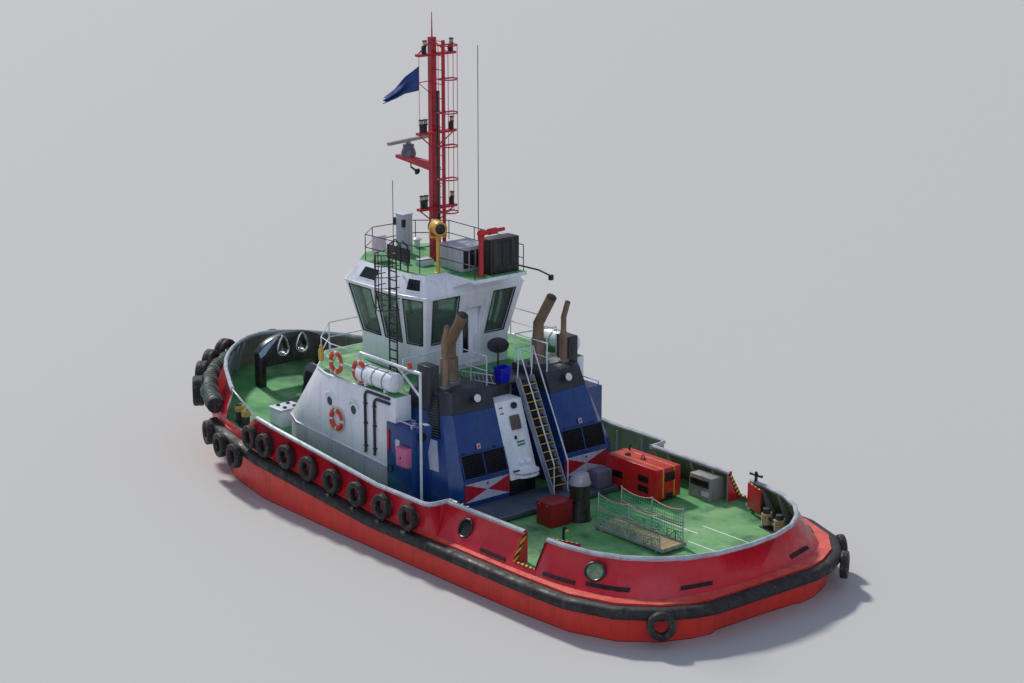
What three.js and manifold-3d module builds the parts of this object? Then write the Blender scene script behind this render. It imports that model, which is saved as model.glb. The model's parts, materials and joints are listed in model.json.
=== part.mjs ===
// Harbour tugboat, about 27.5 m long, in millimetres.
// +X is forward, +Y is port, +Z is up. The origin is on the centreline,
// amidships, at the waterline.

import * as THREE from 'three';
import { mergeVertices } from 'three/addons/utils/BufferGeometryUtils.js';
import Module from 'manifold-3d';

const wasm = await Module();
wasm.setup();

// Driving dimensions

const GAP = 0.3;                    // seat gap between pieces that touch
const HALF_BEAM = 5000;             // hull half breadth at the deck edge
const STERN_X = -13300;             // aft end of the hull at the deck edge
const BOW_X = 12900;                // stem at the deck edge
const DECK_Z = 1200;                // main deck aft
const SHEER = 0.07;                 // rise of the deck per metre, forward
const SHEER_START_X = -1500;        // where the deck starts to rise
const FORE_START_X = 4000;          // where the bow starts to narrow
const AFT_RAIL_RISE = 950;          // bulwark height above the aft deck
const RAIL_SHEER = 0.09;            // rise of the forward rail per metre
const PLATE = 60;                   // thickness of a bulwark wall
const BRIDGE_DECK_Z = 4670;         // top of the deckhouse
const CASING_TOP_Z = 4850;          // top of the exhaust casings
const SILL_Z = 5600;                // knuckle under the wheelhouse windows
const EAVE_Z = 7380;                // top of the wheelhouse walls
const ROOF_Z = 8000;                // roof deck of the wheelhouse
const WALL = 70;                    // wheelhouse wall thickness

// Materials

const paint = (color, roughness = 0.5, metalness = 0) =>
  new THREE.MeshStandardMaterial({ color, roughness, metalness });
const HULL_RED = paint(0xb3121c, 0.45);
const SIGNAL_RED = paint(0xc01818, 0.45);
const WHITE = paint(0xe4e4ea, 0.45);
const PALE_GREY = paint(0xb9bdc2, 0.5);
const GREY = paint(0x5b6064, 0.55);
const BLUE = paint(0x173a78, 0.4);
const BLACK = paint(0x17171a, 0.6);
const DECK_GREEN = paint(0x2f8a45, 0.7);
const SLATE = paint(0x2a3340, 0.7);
const RUBBER = paint(0x141414, 0.9);
const BRONZE = paint(0x6d5a47, 0.5, 0.6);
const GLASS = paint(0x7fa08c, 0.1);
const YELLOW = paint(0xd8a72c, 0.5);
const GALVANISED = paint(0x9a9c98, 0.5, 0.6);
const FLAG_BLUE = paint(0x2b4a7d, 0.8);
const PROP_BRONZE = paint(0xb08a4a, 0.3, 1.0);
const FOULING_RED = paint(0x6e2018, 0.8);
const CANVAS = paint(0x4b4358, 0.9);

// Geometry helpers

const vec = (x, y, z) => new THREE.Vector3(x, y, z);
const lerp = THREE.MathUtils.lerp;

function solid(geometry) {
  const bare = geometry.clone();
  bare.deleteAttribute('normal');
  bare.deleteAttribute('uv');
  const merged = mergeVertices(bare, 0.001);
  return new wasm.Manifold(new wasm.Mesh({
    numProp: 3,
    vertProperties: new Float32Array(merged.attributes.position.array),
    triVerts: new Uint32Array(merged.index.array),
  }));
}

function geometryOf(body) {
  const mesh = body.getMesh();
  const geometry = new THREE.BufferGeometry();
  geometry.setAttribute('position', new THREE.BufferAttribute(mesh.vertProperties, 3));
  geometry.setIndex(new THREE.BufferAttribute(mesh.triVerts, 1));
  return geometry;
}

const asSolid = (shape) => (shape.isBufferGeometry ? solid(shape) : shape);
const join = (...shapes) => shapes.map(asSolid).reduce((whole, next) => whole.add(next));
const flip = (shape) => asSolid(shape).mirror([0, 1, 0]);
const cut = (shape, ...tools) =>
  tools.map(asSolid).reduce((rest, tool) => rest.subtract(tool), asSolid(shape));

// A piece that stands on a carrier is cut by the carrier, raised by the gap.
const seat = (shape, carrier, rise = GAP) =>
  asSolid(shape).subtract(asSolid(carrier).translate([0, 0, rise]));

function block(x, y, z) {
  const box = new THREE.BoxGeometry(x[1] - x[0], y[1] - y[0], z[1] - z[0]);
  return box.translate((x[0] + x[1]) / 2, (y[0] + y[1]) / 2, (z[0] + z[1]) / 2);
}

function bar(from, to, radius, sides = 8, endRadius = radius) {
  const run = to.clone().sub(from);
  const rod = new THREE.CylinderGeometry(endRadius, radius, run.length(), sides);
  rod.translate(0, run.length() / 2, 0);
  rod.applyQuaternion(new THREE.Quaternion().setFromUnitVectors(vec(0, 1, 0), run.normalize()));
  return rod.translate(from.x, from.y, from.z);
}

function pipe(points, radius, sides = 8) {
  const rods = [];
  for (let i = 1; i < points.length; i += 1) {
    rods.push(bar(points[i - 1], points[i], radius, sides));
    if (i < points.length - 1) {
      rods.push(new THREE.SphereGeometry(radius, sides, 4)
        .translate(points[i].x, points[i].y, points[i].z));
    }
  }
  return join(...rods);
}

function outward(geometry) {
  const p = geometry.attributes.position;
  const index = geometry.index.array;
  const [a, b, c] = [vec(0, 0, 0), vec(0, 0, 0), vec(0, 0, 0)];
  let volume = 0;
  for (let i = 0; i < index.length; i += 3) {
    a.fromBufferAttribute(p, index[i]);
    b.fromBufferAttribute(p, index[i + 1]);
    c.fromBufferAttribute(p, index[i + 2]);
    volume += a.dot(b.cross(c));
  }
  if (volume < 0) {
    for (let i = 0; i < index.length; i += 3) {
      [index[i + 1], index[i + 2]] = [index[i + 2], index[i + 1]];
    }
  }
  return geometry;
}

// A closed body through rings of equal length; the end rings are capped.
function loft(rings, loop = false) {
  const sides = rings[0].length;
  const positions = rings.flat().flatMap((point) => [point.x, point.y, point.z]);
  const index = [];
  const last = loop ? rings.length : rings.length - 1;
  for (let i = 0; i < last; i += 1) {
    for (let j = 0; j < sides; j += 1) {
      const next = (j + 1) % sides;
      const here = i * sides;
      const there = ((i + 1) % rings.length) * sides;
      index.push(here + j, there + j, there + next, here + j, there + next, here + next);
    }
  }
  if (!loop) {
    const flat = (points) => {
      const normal = vec(0, 0, 0);
      points.forEach((point, j) => {
        normal.add(point.clone().cross(points[(j + 1) % sides]));
      });
      const turn = new THREE.Quaternion().setFromUnitVectors(normal.normalize(), vec(0, 0, 1));
      const turned = points.map((point) => point.clone().applyQuaternion(turn));
      return turned.map((point) => new THREE.Vector2(point.x, point.y));
    };
    const start = (rings.length - 1) * sides;
    THREE.ShapeUtils.triangulateShape(flat(rings[0]), [])
      .forEach(([a, b, c]) => index.push(a, b, c));
    THREE.ShapeUtils.triangulateShape(flat(rings[rings.length - 1]), [])
      .forEach(([a, b, c]) => index.push(start + a, start + c, start + b));
  }
  const geometry = new THREE.BufferGeometry();
  geometry.setAttribute('position', new THREE.Float32BufferAttribute(positions, 3));
  geometry.setIndex(index);
  return outward(geometry);
}

// A plan outline [x, y] raised from one height to another.
const slab = (plan, z0, z1) =>
  loft([z0, z1].map((z) => plan.map(([x, y]) => vec(x, y, z))));

// A port half outline, mirrored into a whole plan.
const mirrored = (half) => [...half, ...half.map(([x, y]) => [x, -y]).reverse()];

// A closed plan moved inboard by a distance.
const inset = (plan, by) => plan.map(([x, y], i) => {
  const before = plan[(i + plan.length - 1) % plan.length];
  const after = plan[(i + 1) % plan.length];
  const one = vec(x - before[0], y - before[1], 0).normalize();
  const two = vec(after[0] - x, after[1] - y, 0).normalize();
  const normal = vec(one.y + two.y, -one.x - two.x, 0).normalize();
  const spread = normal.dot(vec(one.y, -one.x, 0));
  return [x + (normal.x * by) / spread, y + (normal.y * by) / spread];
});

const boat = new THREE.Group();

function place(parent, name, shape, material) {
  const geometry = shape.isBufferGeometry ? shape : geometryOf(shape);
  const mesh = new THREE.Mesh(geometry, material);
  mesh.name = name;
  parent.add(mesh);
  return mesh;
}

// Hull form

const deckZ = (x) => DECK_Z + SHEER * Math.max(0, x - SHEER_START_X);

function deckHalf(x) {
  if (x > FORE_START_X) {
    const run = Math.min(1, (x - FORE_START_X) / (BOW_X - FORE_START_X));
    return HALF_BEAM * (1 - run ** 2.3) ** 0.6;
  }
  const aft = Math.max(0, Math.min(1, (-9000 - x) / (-9000 - STERN_X)));
  return lerp(HALF_BEAM, 1500, 1 - Math.sqrt(1 - (aft ** 2.6) * 0.98));
}

// columns: x of the section, keel depth, half breadth at the waterline and at
// the bilge as parts of the deck half breadth, bilge depth as part of keel depth,
// how far the section's foot is raked forward of its deck edge
const HULL_SECTIONS = [
  [-13300, 700, 0.94, 0.70, 0.75, 500],
  [-13150, 760, 0.95, 0.72, 0.75, 400],
  [-12700, 900, 0.96, 0.75, 0.75, 250],
  [-11800, 1150, 0.97, 0.78, 0.75, 80],
  [-10400, 1500, 0.98, 0.80, 0.75, 0],
  [-8500, 2000, 0.99, 0.80, 0.76, 0],
  [-6000, 2600, 1.00, 0.80, 0.78, 0],
  [-4000, 2950, 1.00, 0.80, 0.80, 0],
  [-1500, 3125, 1.00, 0.80, 0.80, 0],
  [1000, 3300, 1.00, 0.80, 0.80, 0],
  [5000, 3300, 0.98, 0.74, 0.78, 0],
  [7500, 3200, 0.92, 0.62, 0.74, 0],
  [9500, 2950, 0.83, 0.50, 0.68, 0],
  [10300, 2740, 0.78, 0.44, 0.64, 0],
  [11000, 2500, 0.72, 0.38, 0.60, 0],
  [11600, 2130, 0.66, 0.32, 0.56, 0],
  [12100, 1700, 0.58, 0.26, 0.52, 0],
  [12400, 1150, 0.54, 0.22, 0.51, 0],
  [12600, 700, 0.52, 0.20, 0.50, 0],
  [12850, 150, 0.60, 0.50, 0.50, 0],
];

function hullRing([x, keel, waterPart, bilgePart, bilgeDepth, rake]) {
  const deck = deckHalf(x);
  const side = [
    [0, -keel, 0],
    [deck * bilgePart * 0.6, -keel * lerp(bilgeDepth, 1, 0.75), 0],
    [deck * bilgePart, -keel * bilgeDepth, 0],
    [deck * waterPart, -keel * bilgeDepth * 0.3, 0.4],
    [deck * lerp(waterPart, 1, 0.4), 250, 0.75],
    [deck, deckZ(x) - 450, 1],
    [deck, deckZ(x), 1],
    [0, deckZ(x), 1],
  ];
  const port = side.map(([y, z, up]) => vec(x + rake * (1 - up), y, z));
  const starboard = side.slice(1, -1).reverse()
    .map(([y, z, up]) => vec(x + rake * (1 - up), -y, z));
  return [...port, ...starboard];
}

const hullShape = solid(loft(HULL_SECTIONS.map(hullRing)));

// Deck plan offset inboard from the deck edge, from the stern round to the bow

const planX = (start, end, count) =>
  Array.from({ length: count + 1 }, (_, i) => lerp(start, end, i / count));

// Aft bulwark: leans inboard, and stands on the deck inside the red ledge.
// columns: x of foot, y of foot, x of rail, y of rail
const AFT_LINE = [
  [-4330, 4800, -4200, 4290],
  [-6000, 4800, -6000, 4280],
  [-7400, 4790, -7400, 4260],
  [-8250, 4770, -8250, 4230],
  [-9500, 4680, -9400, 4130],
  [-10500, 4480, -10350, 3930],
  [-11400, 4160, -11200, 3500],
  [-12100, 3640, -11850, 2900],
  [-12620, 2850, -12350, 2130],
  [-12930, 1600, -12650, 1150],
  [-13000, 0, -12740, 0],
];
const GATE_FRONT_X = -7750;
const GATE_REAR_X = -8700;
const GATE_SILL = 150;              // coaming left under each gate
const GATE_POST_Y = 4150;           // inboard edge of the posts beside each gate

const aftRailZ = (x) => deckZ(x) + AFT_RAIL_RISE;

function wallRing(foot, rail, z0, z1, inward) {
  const shift = inward.clone().multiplyScalar(PLATE);
  const outerFoot = vec(foot.x, foot.y, z0);
  const outerRail = vec(rail.x, rail.y, z1);
  return [outerFoot, outerRail, outerRail.clone().add(shift), outerFoot.clone().add(shift)];
}

// Wall rings along a table of foot and rail points, with z heights from part to part.
function wallAlong(line, footZ, railZ, part = 1) {
  return line.map(([fx, fy, rx, ry], i) => {
    const before = line[Math.max(0, i - 1)];
    const after = line[Math.min(line.length - 1, i + 1)];
    const run = vec(after[0] - before[0], after[1] - before[1], 0).normalize();
    let inward = vec(-run.y, run.x, 0);
    if (inward.dot(vec(-fx, -fy, 0)) < 0 || (fy === 0 && inward.x < 0)) {
      inward = inward.negate();
    }
    if (fy === 0) inward = vec(Math.sign(-fx), 0, 0);
    const foot = { x: fx, y: fy };
    const rail = { x: lerp(fx, rx, part), y: lerp(fy, ry, part) };
    return wallRing(foot, rail, footZ(fx), lerp(footZ(fx), railZ(rx), part), inward);
  });
}

const mirrorLine = (line) => [
  ...line,
  ...line.filter(([, y]) => y !== 0).map(([a, b, c, d]) => [a, -b, c, -d]).reverse(),
];
const footZ = (x) => deckZ(x) + GAP;

// Forward bulwark: upright and flush with the hull side, leaning in at the bow
const FORE_XS = [-3500, -1500, 0, 2000, 4000, 5500, 7000, 8500, 9300, 10100, 10900, 11500, 12000,
  12400, 12700];
const leanIn = (x) => 520 * THREE.MathUtils.smoothstep(x, 5500, 9500);
const foreRailZ = (x) => DECK_Z + AFT_RAIL_RISE + RAIL_SHEER * Math.max(0, x - SHEER_START_X);

// Its aft end turns inboard to meet the aft bulwark.
// columns: x of foot, y of foot, x of rail, y of rail
const FORE_TURN = [
  [-4290, 4740, -4130, 4215],
  [-4270, 4850, -4120, 4500],
  [-4220, 4915, -4100, 4740],
  [-4120, 4955, -4020, 4900],
  [-3950, 4975, -3880, 4965],
];

const FORE_LINE = [...FORE_TURN, ...FORE_XS.map((x) => {
  const y = deckHalf(x);
  const slope = (deckHalf(x + 50) - deckHalf(x - 50)) / 100;
  const run = Math.hypot(slope, 1);
  const inX = slope / run;
  const inY = -1 / run;
  const inset = 25;
  return [x + inX * inset, y + inY * inset, x + inX * (inset + leanIn(x)),
    Math.max(0, y + inY * (inset + leanIn(x)))];
}), [BOW_X - 40, 0, BOW_X - 560, 0]];

// Low stretch of the port bow bulwark, bridged by a loose rail
const BOW_CUT = { aftLow: 6390, slope: -1.5, fore: 7900, rise: 250, railRadius: 35 };

function railTube(line, railZ, radius = 75) {
  const sides = 8;
  const rings = line.map(([, , rx, ry], i) => {
    const before = line[Math.max(0, i - 1)];
    const after = line[Math.min(line.length - 1, i + 1)];
    const run = vec(after[2] - before[2], after[3] - before[3], 0).normalize();
    const side = vec(-run.y, run.x, 0);
    return Array.from({ length: sides }, (_, k) => {
      const turn = ((k + 0.5) / sides) * Math.PI * 2;
      return vec(rx, ry, railZ(rx))
        .addScaledVector(side, Math.cos(turn) * radius)
        .add(vec(0, 0, Math.sin(turn) * radius));
    });
  });
  return loft(rings);
}

// The green deck lies in a shallow recess inside the bulwarks
const deckPlan = mirrorLine([...AFT_LINE].reverse().concat(FORE_LINE.slice(FORE_TURN.length - 1)))
  .map(([x, y]) => [x, y]);
const DECK_THICK = 20;
const insideDeck = (by) => solid(slab(inset(deckPlan, PLATE + by), 0, 6000));
const deckRecess = insideDeck(10).subtract(hullShape.translate([0, 0, -DECK_THICK - GAP]));
const deckPlate = insideDeck(10 + GAP).intersect(hullShape)
  .subtract(hullShape.translate([0, 0, -DECK_THICK]));

const THRUSTER = { x: -9800, y: 2300, seat: -2000, shaft: -3400, steerRadius: 350 };
const pad = bar(vec(THRUSTER.x, THRUSTER.y, -1000), vec(THRUSTER.x, THRUSTER.y, THRUSTER.seat),
  700, 20);
place(boat, 'hull', join(cut(hullShape, deckRecess), pad, flip(pad)), HULL_RED);

// Mooring bitts welded to the deck: two posts on a base, with a cross bar
// columns: x, y, turn in degrees, for the port side
const BITTS = [[-10510, 3310, 12], [7430, 4030, -13]];
const BITT = { spread: 345, radius: 120, high: 620, base: 500, half: 170, bar: 55, barRise: 330 };
const bittPairs = BITTS.map(([x, y, turn]) => {
  const z = deckZ(x);
  const post = (at) => bar(vec(at, 0, z - 60), vec(at, 0, z + BITT.high), BITT.radius, 10);
  return join(block([-BITT.base, BITT.base], [-BITT.half, BITT.half], [z - 60, z + 40]),
    post(-BITT.spread), post(BITT.spread),
    bar(vec(-BITT.spread, 0, z + BITT.barRise), vec(BITT.spread, 0, z + BITT.barRise), BITT.bar, 8))
    .rotate([0, 0, turn]).translate([x, y, 0])
    .subtract(hullShape.translate([0, 0, -DECK_THICK / 2]));
});
place(boat, 'main_deck', join(deckPlate, ...bittPairs, ...bittPairs.map(flip)), DECK_GREEN);
const skegSide = [[3500, -3000], [2500, -4300], [-7000, -4300], [-7500, -1900]];
place(boat, 'skeg', cut(loft([-150, 150].map((y) => skegSide.map(([x, z]) => vec(x, y, z)))),
  hullShape.translate([0, 0, -GAP])), FOULING_RED);

const aftWall = loft(wallAlong(mirrorLine(AFT_LINE), footZ, aftRailZ));
const gateGap = block([GATE_REAR_X, GATE_FRONT_X], [-HALF_BEAM, HALF_BEAM],
  [DECK_Z + GATE_SILL, DECK_Z + 2 * AFT_RAIL_RISE]);
const aftRail = railTube(mirrorLine(AFT_LINE), aftRailZ);
// Posts beside the gates: a lean plate outside and an upright edge inboard
const GATE_POST = 60;
const GATE_POST_TOP = DECK_Z + AFT_RAIL_RISE;
const gatePost = (x) => loft([x, x + GATE_POST].map((at) => [[4745, footZ(x)],
  [4225, GATE_POST_TOP], [GATE_POST_Y, GATE_POST_TOP], [GATE_POST_Y, footZ(x)]]
  .map(([y, z]) => vec(at, y, z))));
const GATE_HINGE = { x: GATE_REAR_X - 30, y: 4070, lugs: [1420, 1980], high: 60 };
const gateLug = (z) => block([GATE_HINGE.x - 20, GATE_HINGE.x + 20],
  [GATE_HINGE.y - 20, GATE_POST_Y + 10], [z - GATE_HINGE.high, z - GAP]);
const gateFrame = join(gatePost(GATE_REAR_X - GATE_POST), gatePost(GATE_FRONT_X),
  ...GATE_HINGE.lugs.map(gateLug));
const foreTurns = railTube(FORE_TURN, aftRailZ);
const foreTurnWall = loft(wallAlong(FORE_TURN, footZ, aftRailZ));
const foreTurn = join(foreTurns, foreTurnWall).translate([-GAP, 0, 0]);
const aftBulwark = join(cut(join(aftWall, aftRail), gateGap, foreTurn, flip(foreTurn)), gateFrame,
  flip(gateFrame));
place(boat, 'aft_bulwark', aftBulwark, HULL_RED);

// Locker standing on the deck against the starboard bulwark
const SIDE_LOCKER = { x: [-7385, -6400], top: 1950 };
const sideLocker = loft(SIDE_LOCKER.x.map((x) => [[-4750, footZ(x)], [-4330, SIDE_LOCKER.top],
  [-3790, SIDE_LOCKER.top], [-3720, footZ(x)]].map(([y, z]) => vec(x, y, z))));
place(boat, 'side_locker', cut(sideLocker, aftBulwark.translate([0, GAP, 0])), PALE_GREY);

// Gates stand folded back inside the bulwark, and swing on upright pins
const GATE_LEAF = { start: 35, end: 920, near: 15, far: 60, z: [1370, 2170], open: -160 };
const gateLeaf = join(
  block([GATE_LEAF.start, GATE_LEAF.end], [GATE_LEAF.near, GATE_LEAF.far], GATE_LEAF.z),
  ...GATE_HINGE.lugs.flatMap((z) => [
    bar(vec(0, 0, z), vec(0, 0, z + 90), 18, 10),
    block([-8, 50], [-8, 45], [z + 10, z + 80])]))
  .rotate([0, 0, GATE_LEAF.open]).translate([GATE_HINGE.x, GATE_HINGE.y, 0]);
place(boat, 'port_gate', gateLeaf, HULL_RED);
place(boat, 'starboard_gate', flip(gateLeaf), HULL_RED);

const cutLow = deckZ(BOW_CUT.aftLow) + BOW_CUT.rise;
const cutHigh = foreRailZ(BOW_X);
const bowCut = loft([1000, HALF_BEAM + 200].map((y) => [[BOW_CUT.aftLow, cutLow],
  [BOW_CUT.fore, cutLow], [BOW_CUT.fore, cutHigh],
  [BOW_CUT.aftLow + BOW_CUT.slope * (cutHigh - cutLow), cutHigh]].map(([x, z]) => vec(x, y, z))));
const railAt = (x, fromX) => vec(fromX, deckHalf(x) - 25 - leanIn(x), foreRailZ(x));
const bowCutRail = bar(railAt(8100, 8050), railAt(5300, 5250), BOW_CUT.railRadius);
const foreWall = loft(wallAlong(mirrorLine(FORE_LINE), footZ, foreRailZ));
const foreRail = railTube(mirrorLine(FORE_LINE), foreRailZ);
const foreBulwark = join(cut(join(foreWall, foreRail), bowCut), bowCutRail);
place(boat, 'fore_bulwark', foreBulwark, HULL_RED);

// Rubber fenders and tyres

const FENDER_HIGH = 360;
const FENDER_OUT = 330;
const FENDER_START_X = 8700;
const FENDER_DROP = 60;             // below the deck edge

function hullEdge(xFrom, xTo) {
  const xs = HULL_SECTIONS.map(([x]) => x).filter((x) => x >= xFrom && x <= xTo);
  return xs.map((x) => [x, deckHalf(x)]);
}

// Outward unit normals at each point of an open plan path that runs clockwise
// seen from above (port side forward to aft is run the other way round).
function outNormals(path) {
  return path.map(([x, y], i) => {
    const before = path[Math.max(0, i - 1)];
    const after = path[Math.min(path.length - 1, i + 1)];
    const first = vec(x - before[0], y - before[1], 0).normalize();
    const second = vec(after[0] - x, after[1] - y, 0).normalize();
    const one = i === 0 ? second : first;
    const two = i === path.length - 1 ? first : second;
    const normal = vec(one.y + two.y, -one.x - two.x, 0).normalize();
    const facing = normal.x * x + normal.y * y < 0 ? normal.negate() : normal;
    const spread = Math.abs(facing.dot(vec(one.y, -one.x, 0)));
    return { facing, stretch: 1 / Math.max(0.5, spread) };
  });
}

const portEdge = [[FENDER_START_X, deckHalf(FENDER_START_X)],
  ...hullEdge(STERN_X, FENDER_START_X - 100).reverse()];
const fenderPath = mirrored(portEdge);
const fenderNormals = outNormals(fenderPath);
const fenderRings = fenderPath.map(([x, y], i) => {
  const { facing, stretch } = fenderNormals[i];
  const top = deckZ(x) - FENDER_DROP;
  const at = (out, z) => vec(x, y, z).addScaledVector(facing, (GAP + out) * stretch);
  return [at(0.5, top), at(FENDER_OUT * 0.7, top), at(FENDER_OUT, top - 100),
    at(FENDER_OUT, top - FENDER_HIGH + 100), at(FENDER_OUT * 0.7, top - FENDER_HIGH),
    at(0.5, top - FENDER_HIGH)];
});

const TYRE = { radius: 400, hole: 205, width: 240 };
function tyre(radius = TYRE.radius, hole = TYRE.hole, width = TYRE.width, segments = 12) {
  const w = width / 2;
  const wall = radius - hole;
  const profile = [[hole, -w * 0.8], [radius - wall * 0.25, -w], [radius, -w * 0.55],
    [radius, w * 0.55], [radius - wall * 0.25, w], [hole, w * 0.8], [hole, -w * 0.8]];
  return new THREE.LatheGeometry(profile.map(([r, z]) => new THREE.Vector2(r, z)), segments);
}

// columns: x of each tyre along the side
const SIDE_TYRE_XS = [5390, 4480, 3240, 1990, 670, -640, -1970, -3310];
const TYRE_RISE = 400;              // tyre centre above the deck
const LASHING = 45;

function sideTyres(side) {
  return SIDE_TYRE_XS.flatMap((x) => {
    const slope = (deckHalf(x + 300) - deckHalf(x - 300)) / 600;
    const lean = leanIn(x) * (TYRE_RISE / (foreRailZ(x) - deckZ(x)));
    const out = deckHalf(x) + TYRE.width / 2 + 30 - lean * 0.3;
    const z = deckZ(x) + TYRE_RISE;
    const wheel = tyre().rotateZ(Math.atan(slope))
      .translate(x, out, z);
    const lashing = block([x - LASHING, x + LASHING], [out - LASHING, out + LASHING],
      [deckZ(x) - FENDER_DROP - 80, z - TYRE.radius + 60]);
    return [wheel, lashing].map((shape) => (side > 0 ? solid(shape) : flip(shape)));
  });
}

// A tyre roped flat against a fender: its centre is a distance out from the deck edge at x.
function hungTyre([x, side, out, z, radius, width]) {
  const slope = (deckHalf(x + 20) - deckHalf(x - 20)) / 40;
  const facing = Math.atan2(1, -slope);
  const rope = bar(vec(0, 20 - width / 2, -radius * 0.75), vec(0, 20 - width / 2, radius * 0.75),
    LASHING, 6);
  return join(tyre(radius, radius * 0.5, width), rope)
    .rotate([0, 0, (facing * 180) / Math.PI - 90])
    .translate([x + Math.cos(facing) * out, deckHalf(x) + Math.sin(facing) * out, z])
    .scale([1, side, 1]);
}
// columns: x, side, distance out, height, radius, width
const QUARTER_TYRES = [[-12700, -1, 405, 720, 420, 230], [-11800, -1, 405, 740, 420, 230],
  [-12700, 1, 405, 720, 420, 230],
  ...[6000, 7100, 8300].flatMap((x) => [1, -1].map((side) => [x, side, 420, deckZ(x) - 420, 420, 260]))];
place(boat, 'side_fender', join(loft(fenderRings), ...sideTyres(1), ...sideTyres(-1),
  ...QUARTER_TYRES.map(hungTyre)), RUBBER);

// The bow fender lies half way up the bulwark, cut to sit against it
const BOW_FENDER = { radius: 300, fromX: 8400, rise: 420, sink: 40 };
const bowPart = (x) => BOW_FENDER.rise / (foreRailZ(x) - deckZ(x));
const bowLine = mirrorLine(FORE_LINE.filter(([x]) => x >= BOW_FENDER.fromX));
const bowPath = bowLine.map(([fx, fy, rx, ry]) =>
  [lerp(fx, rx, bowPart(fx)), lerp(fy, ry, bowPart(fx))]);
const bowNormals = outNormals(bowPath);
const bowRings = bowPath.map(([x, y], i) => {
  const { facing, stretch } = bowNormals[i];
  const sides = 8;
  return Array.from({ length: sides }, (_, k) => {
    const turn = ((k + 0.5) / sides) * Math.PI * 2;
    const out = (BOW_FENDER.radius * (Math.cos(Math.PI / sides) + Math.cos(turn))
      - BOW_FENDER.sink) * stretch;
    return vec(x, y, deckZ(x) + BOW_FENDER.rise + Math.sin(turn) * BOW_FENDER.radius)
      .addScaledVector(facing, out);
  });
});
const bowInside = loft([0, 1].map((part) => mirrorLine(FORE_LINE.slice(FORE_TURN.length))
  .map(([fx, fy, rx, ry]) => vec(lerp(fx, rx, part) + GAP, lerp(fy, ry, part) + Math.sign(fy) * GAP,
    part ? foreRailZ(rx) : footZ(fx)))));
// columns: x of each big tyre round the bow, height above the deck
const BOW_TYRES = [[10500, 200], [11500, 300], [12150, 400], [12680, 480]];
const BOW_TYRE = { radius: 540, width: 400, out: 430 };
const bowTyres = BOW_TYRES.flatMap(([x, rise]) => [1, -1].map((side) =>
  hungTyre([x, side, BOW_TYRE.out, deckZ(x) + rise, BOW_TYRE.radius, BOW_TYRE.width])));
place(boat, 'bow_fender', cut(join(loft(bowRings), ...bowTyres), bowInside), RUBBER);

// Deckhouse: grey lower band, white upper part with a raked front

const HOUSE_AFT_X = -700;
const HOUSE_HALF = 3950;
const LEDGE = { z: 2370, slope: 0.05 };  // top of the grey band amidships, and its rise forward
const houseLow = mirrored([[HOUSE_AFT_X, HOUSE_HALF], [4450, 3840], [5270, 3500],
  [6300, 2200]]);
const houseHigh = mirrored([[HOUSE_AFT_X, HOUSE_HALF], [2550, 3930], [3450, 3650],
  [4900, 2300]]);
const ringAt = (plan, z) => plan.map(([x, y]) => vec(x, y, z));
const ledgeRing = (rise) => houseLow.map(([x, y]) => vec(x, y, LEDGE.z + LEDGE.slope * x + rise));
place(boat, 'deckhouse_lower', seat(loft([ringAt(houseLow, DECK_Z - 20), ledgeRing(0)]), hullShape),
  GREY);
const STEP_TOP = 3830;              // top of the step boxes beside the casings
const houseWing = block([-1120, HOUSE_AFT_X], [3300, HOUSE_HALF], [STEP_TOP + GAP, BRIDGE_DECK_Z]);
place(boat, 'deckhouse_upper', join(loft([ledgeRing(GAP), ringAt(houseHigh, BRIDGE_DECK_Z)]),
  houseWing, flip(houseWing)), WHITE);

// Exhaust casings, port and starboard, with black tops

const CASING_IN = 1150;
const CASING_FRONT_X = HOUSE_AFT_X - GAP;
const KNUCKLE_Z = 2200;
const BLACK_Z = 4200;
const casingPlans = {
  foot: [[-3350, CASING_IN], [-3350, 3000], [-3080, 3400], [CASING_FRONT_X, 3600],
    [CASING_FRONT_X, CASING_IN]],
  band: [[-2640, CASING_IN], [-2520, 2780], [-2250, 2980], [CASING_FRONT_X, 3180],
    [CASING_FRONT_X, CASING_IN]],
  top: [[-2420, CASING_IN], [-2330, 2640], [-2080, 2820], [CASING_FRONT_X, 3020],
    [CASING_FRONT_X, CASING_IN]],
};
const casingBody = seat(loft([ringAt(casingPlans.foot, DECK_Z - 20),
  ringAt(casingPlans.foot, KNUCKLE_Z), ringAt(casingPlans.band, BLACK_Z)]), hullShape);
const casingTop = loft([ringAt(casingPlans.band, BLACK_Z + GAP),
  ringAt(casingPlans.top, CASING_TOP_Z)]);
const stepBox = seat(loft([ringAt([[-2000, 2900], [-2000, 3980], [CASING_FRONT_X, 3980],
  [CASING_FRONT_X, 2900]], DECK_Z - 20), ringAt([[-2000, 2900], [-2000, 3980],
  [CASING_FRONT_X, 3980], [CASING_FRONT_X, 2900]], STEP_TOP)]), hullShape);
const casingBlock = join(casingBody, stepBox);
place(boat, 'port_casing', casingBlock, BLUE);
place(boat, 'starboard_casing', flip(casingBlock), BLUE);
const ventBox = block([-1780, -1150], [2700, 3080], [BLACK_Z + 40, 5640]);
const casingHead = join(casingTop, ventBox);
place(boat, 'port_casing_top', casingHead, BLACK);
place(boat, 'starboard_casing_top', flip(casingHead), BLACK);

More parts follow.
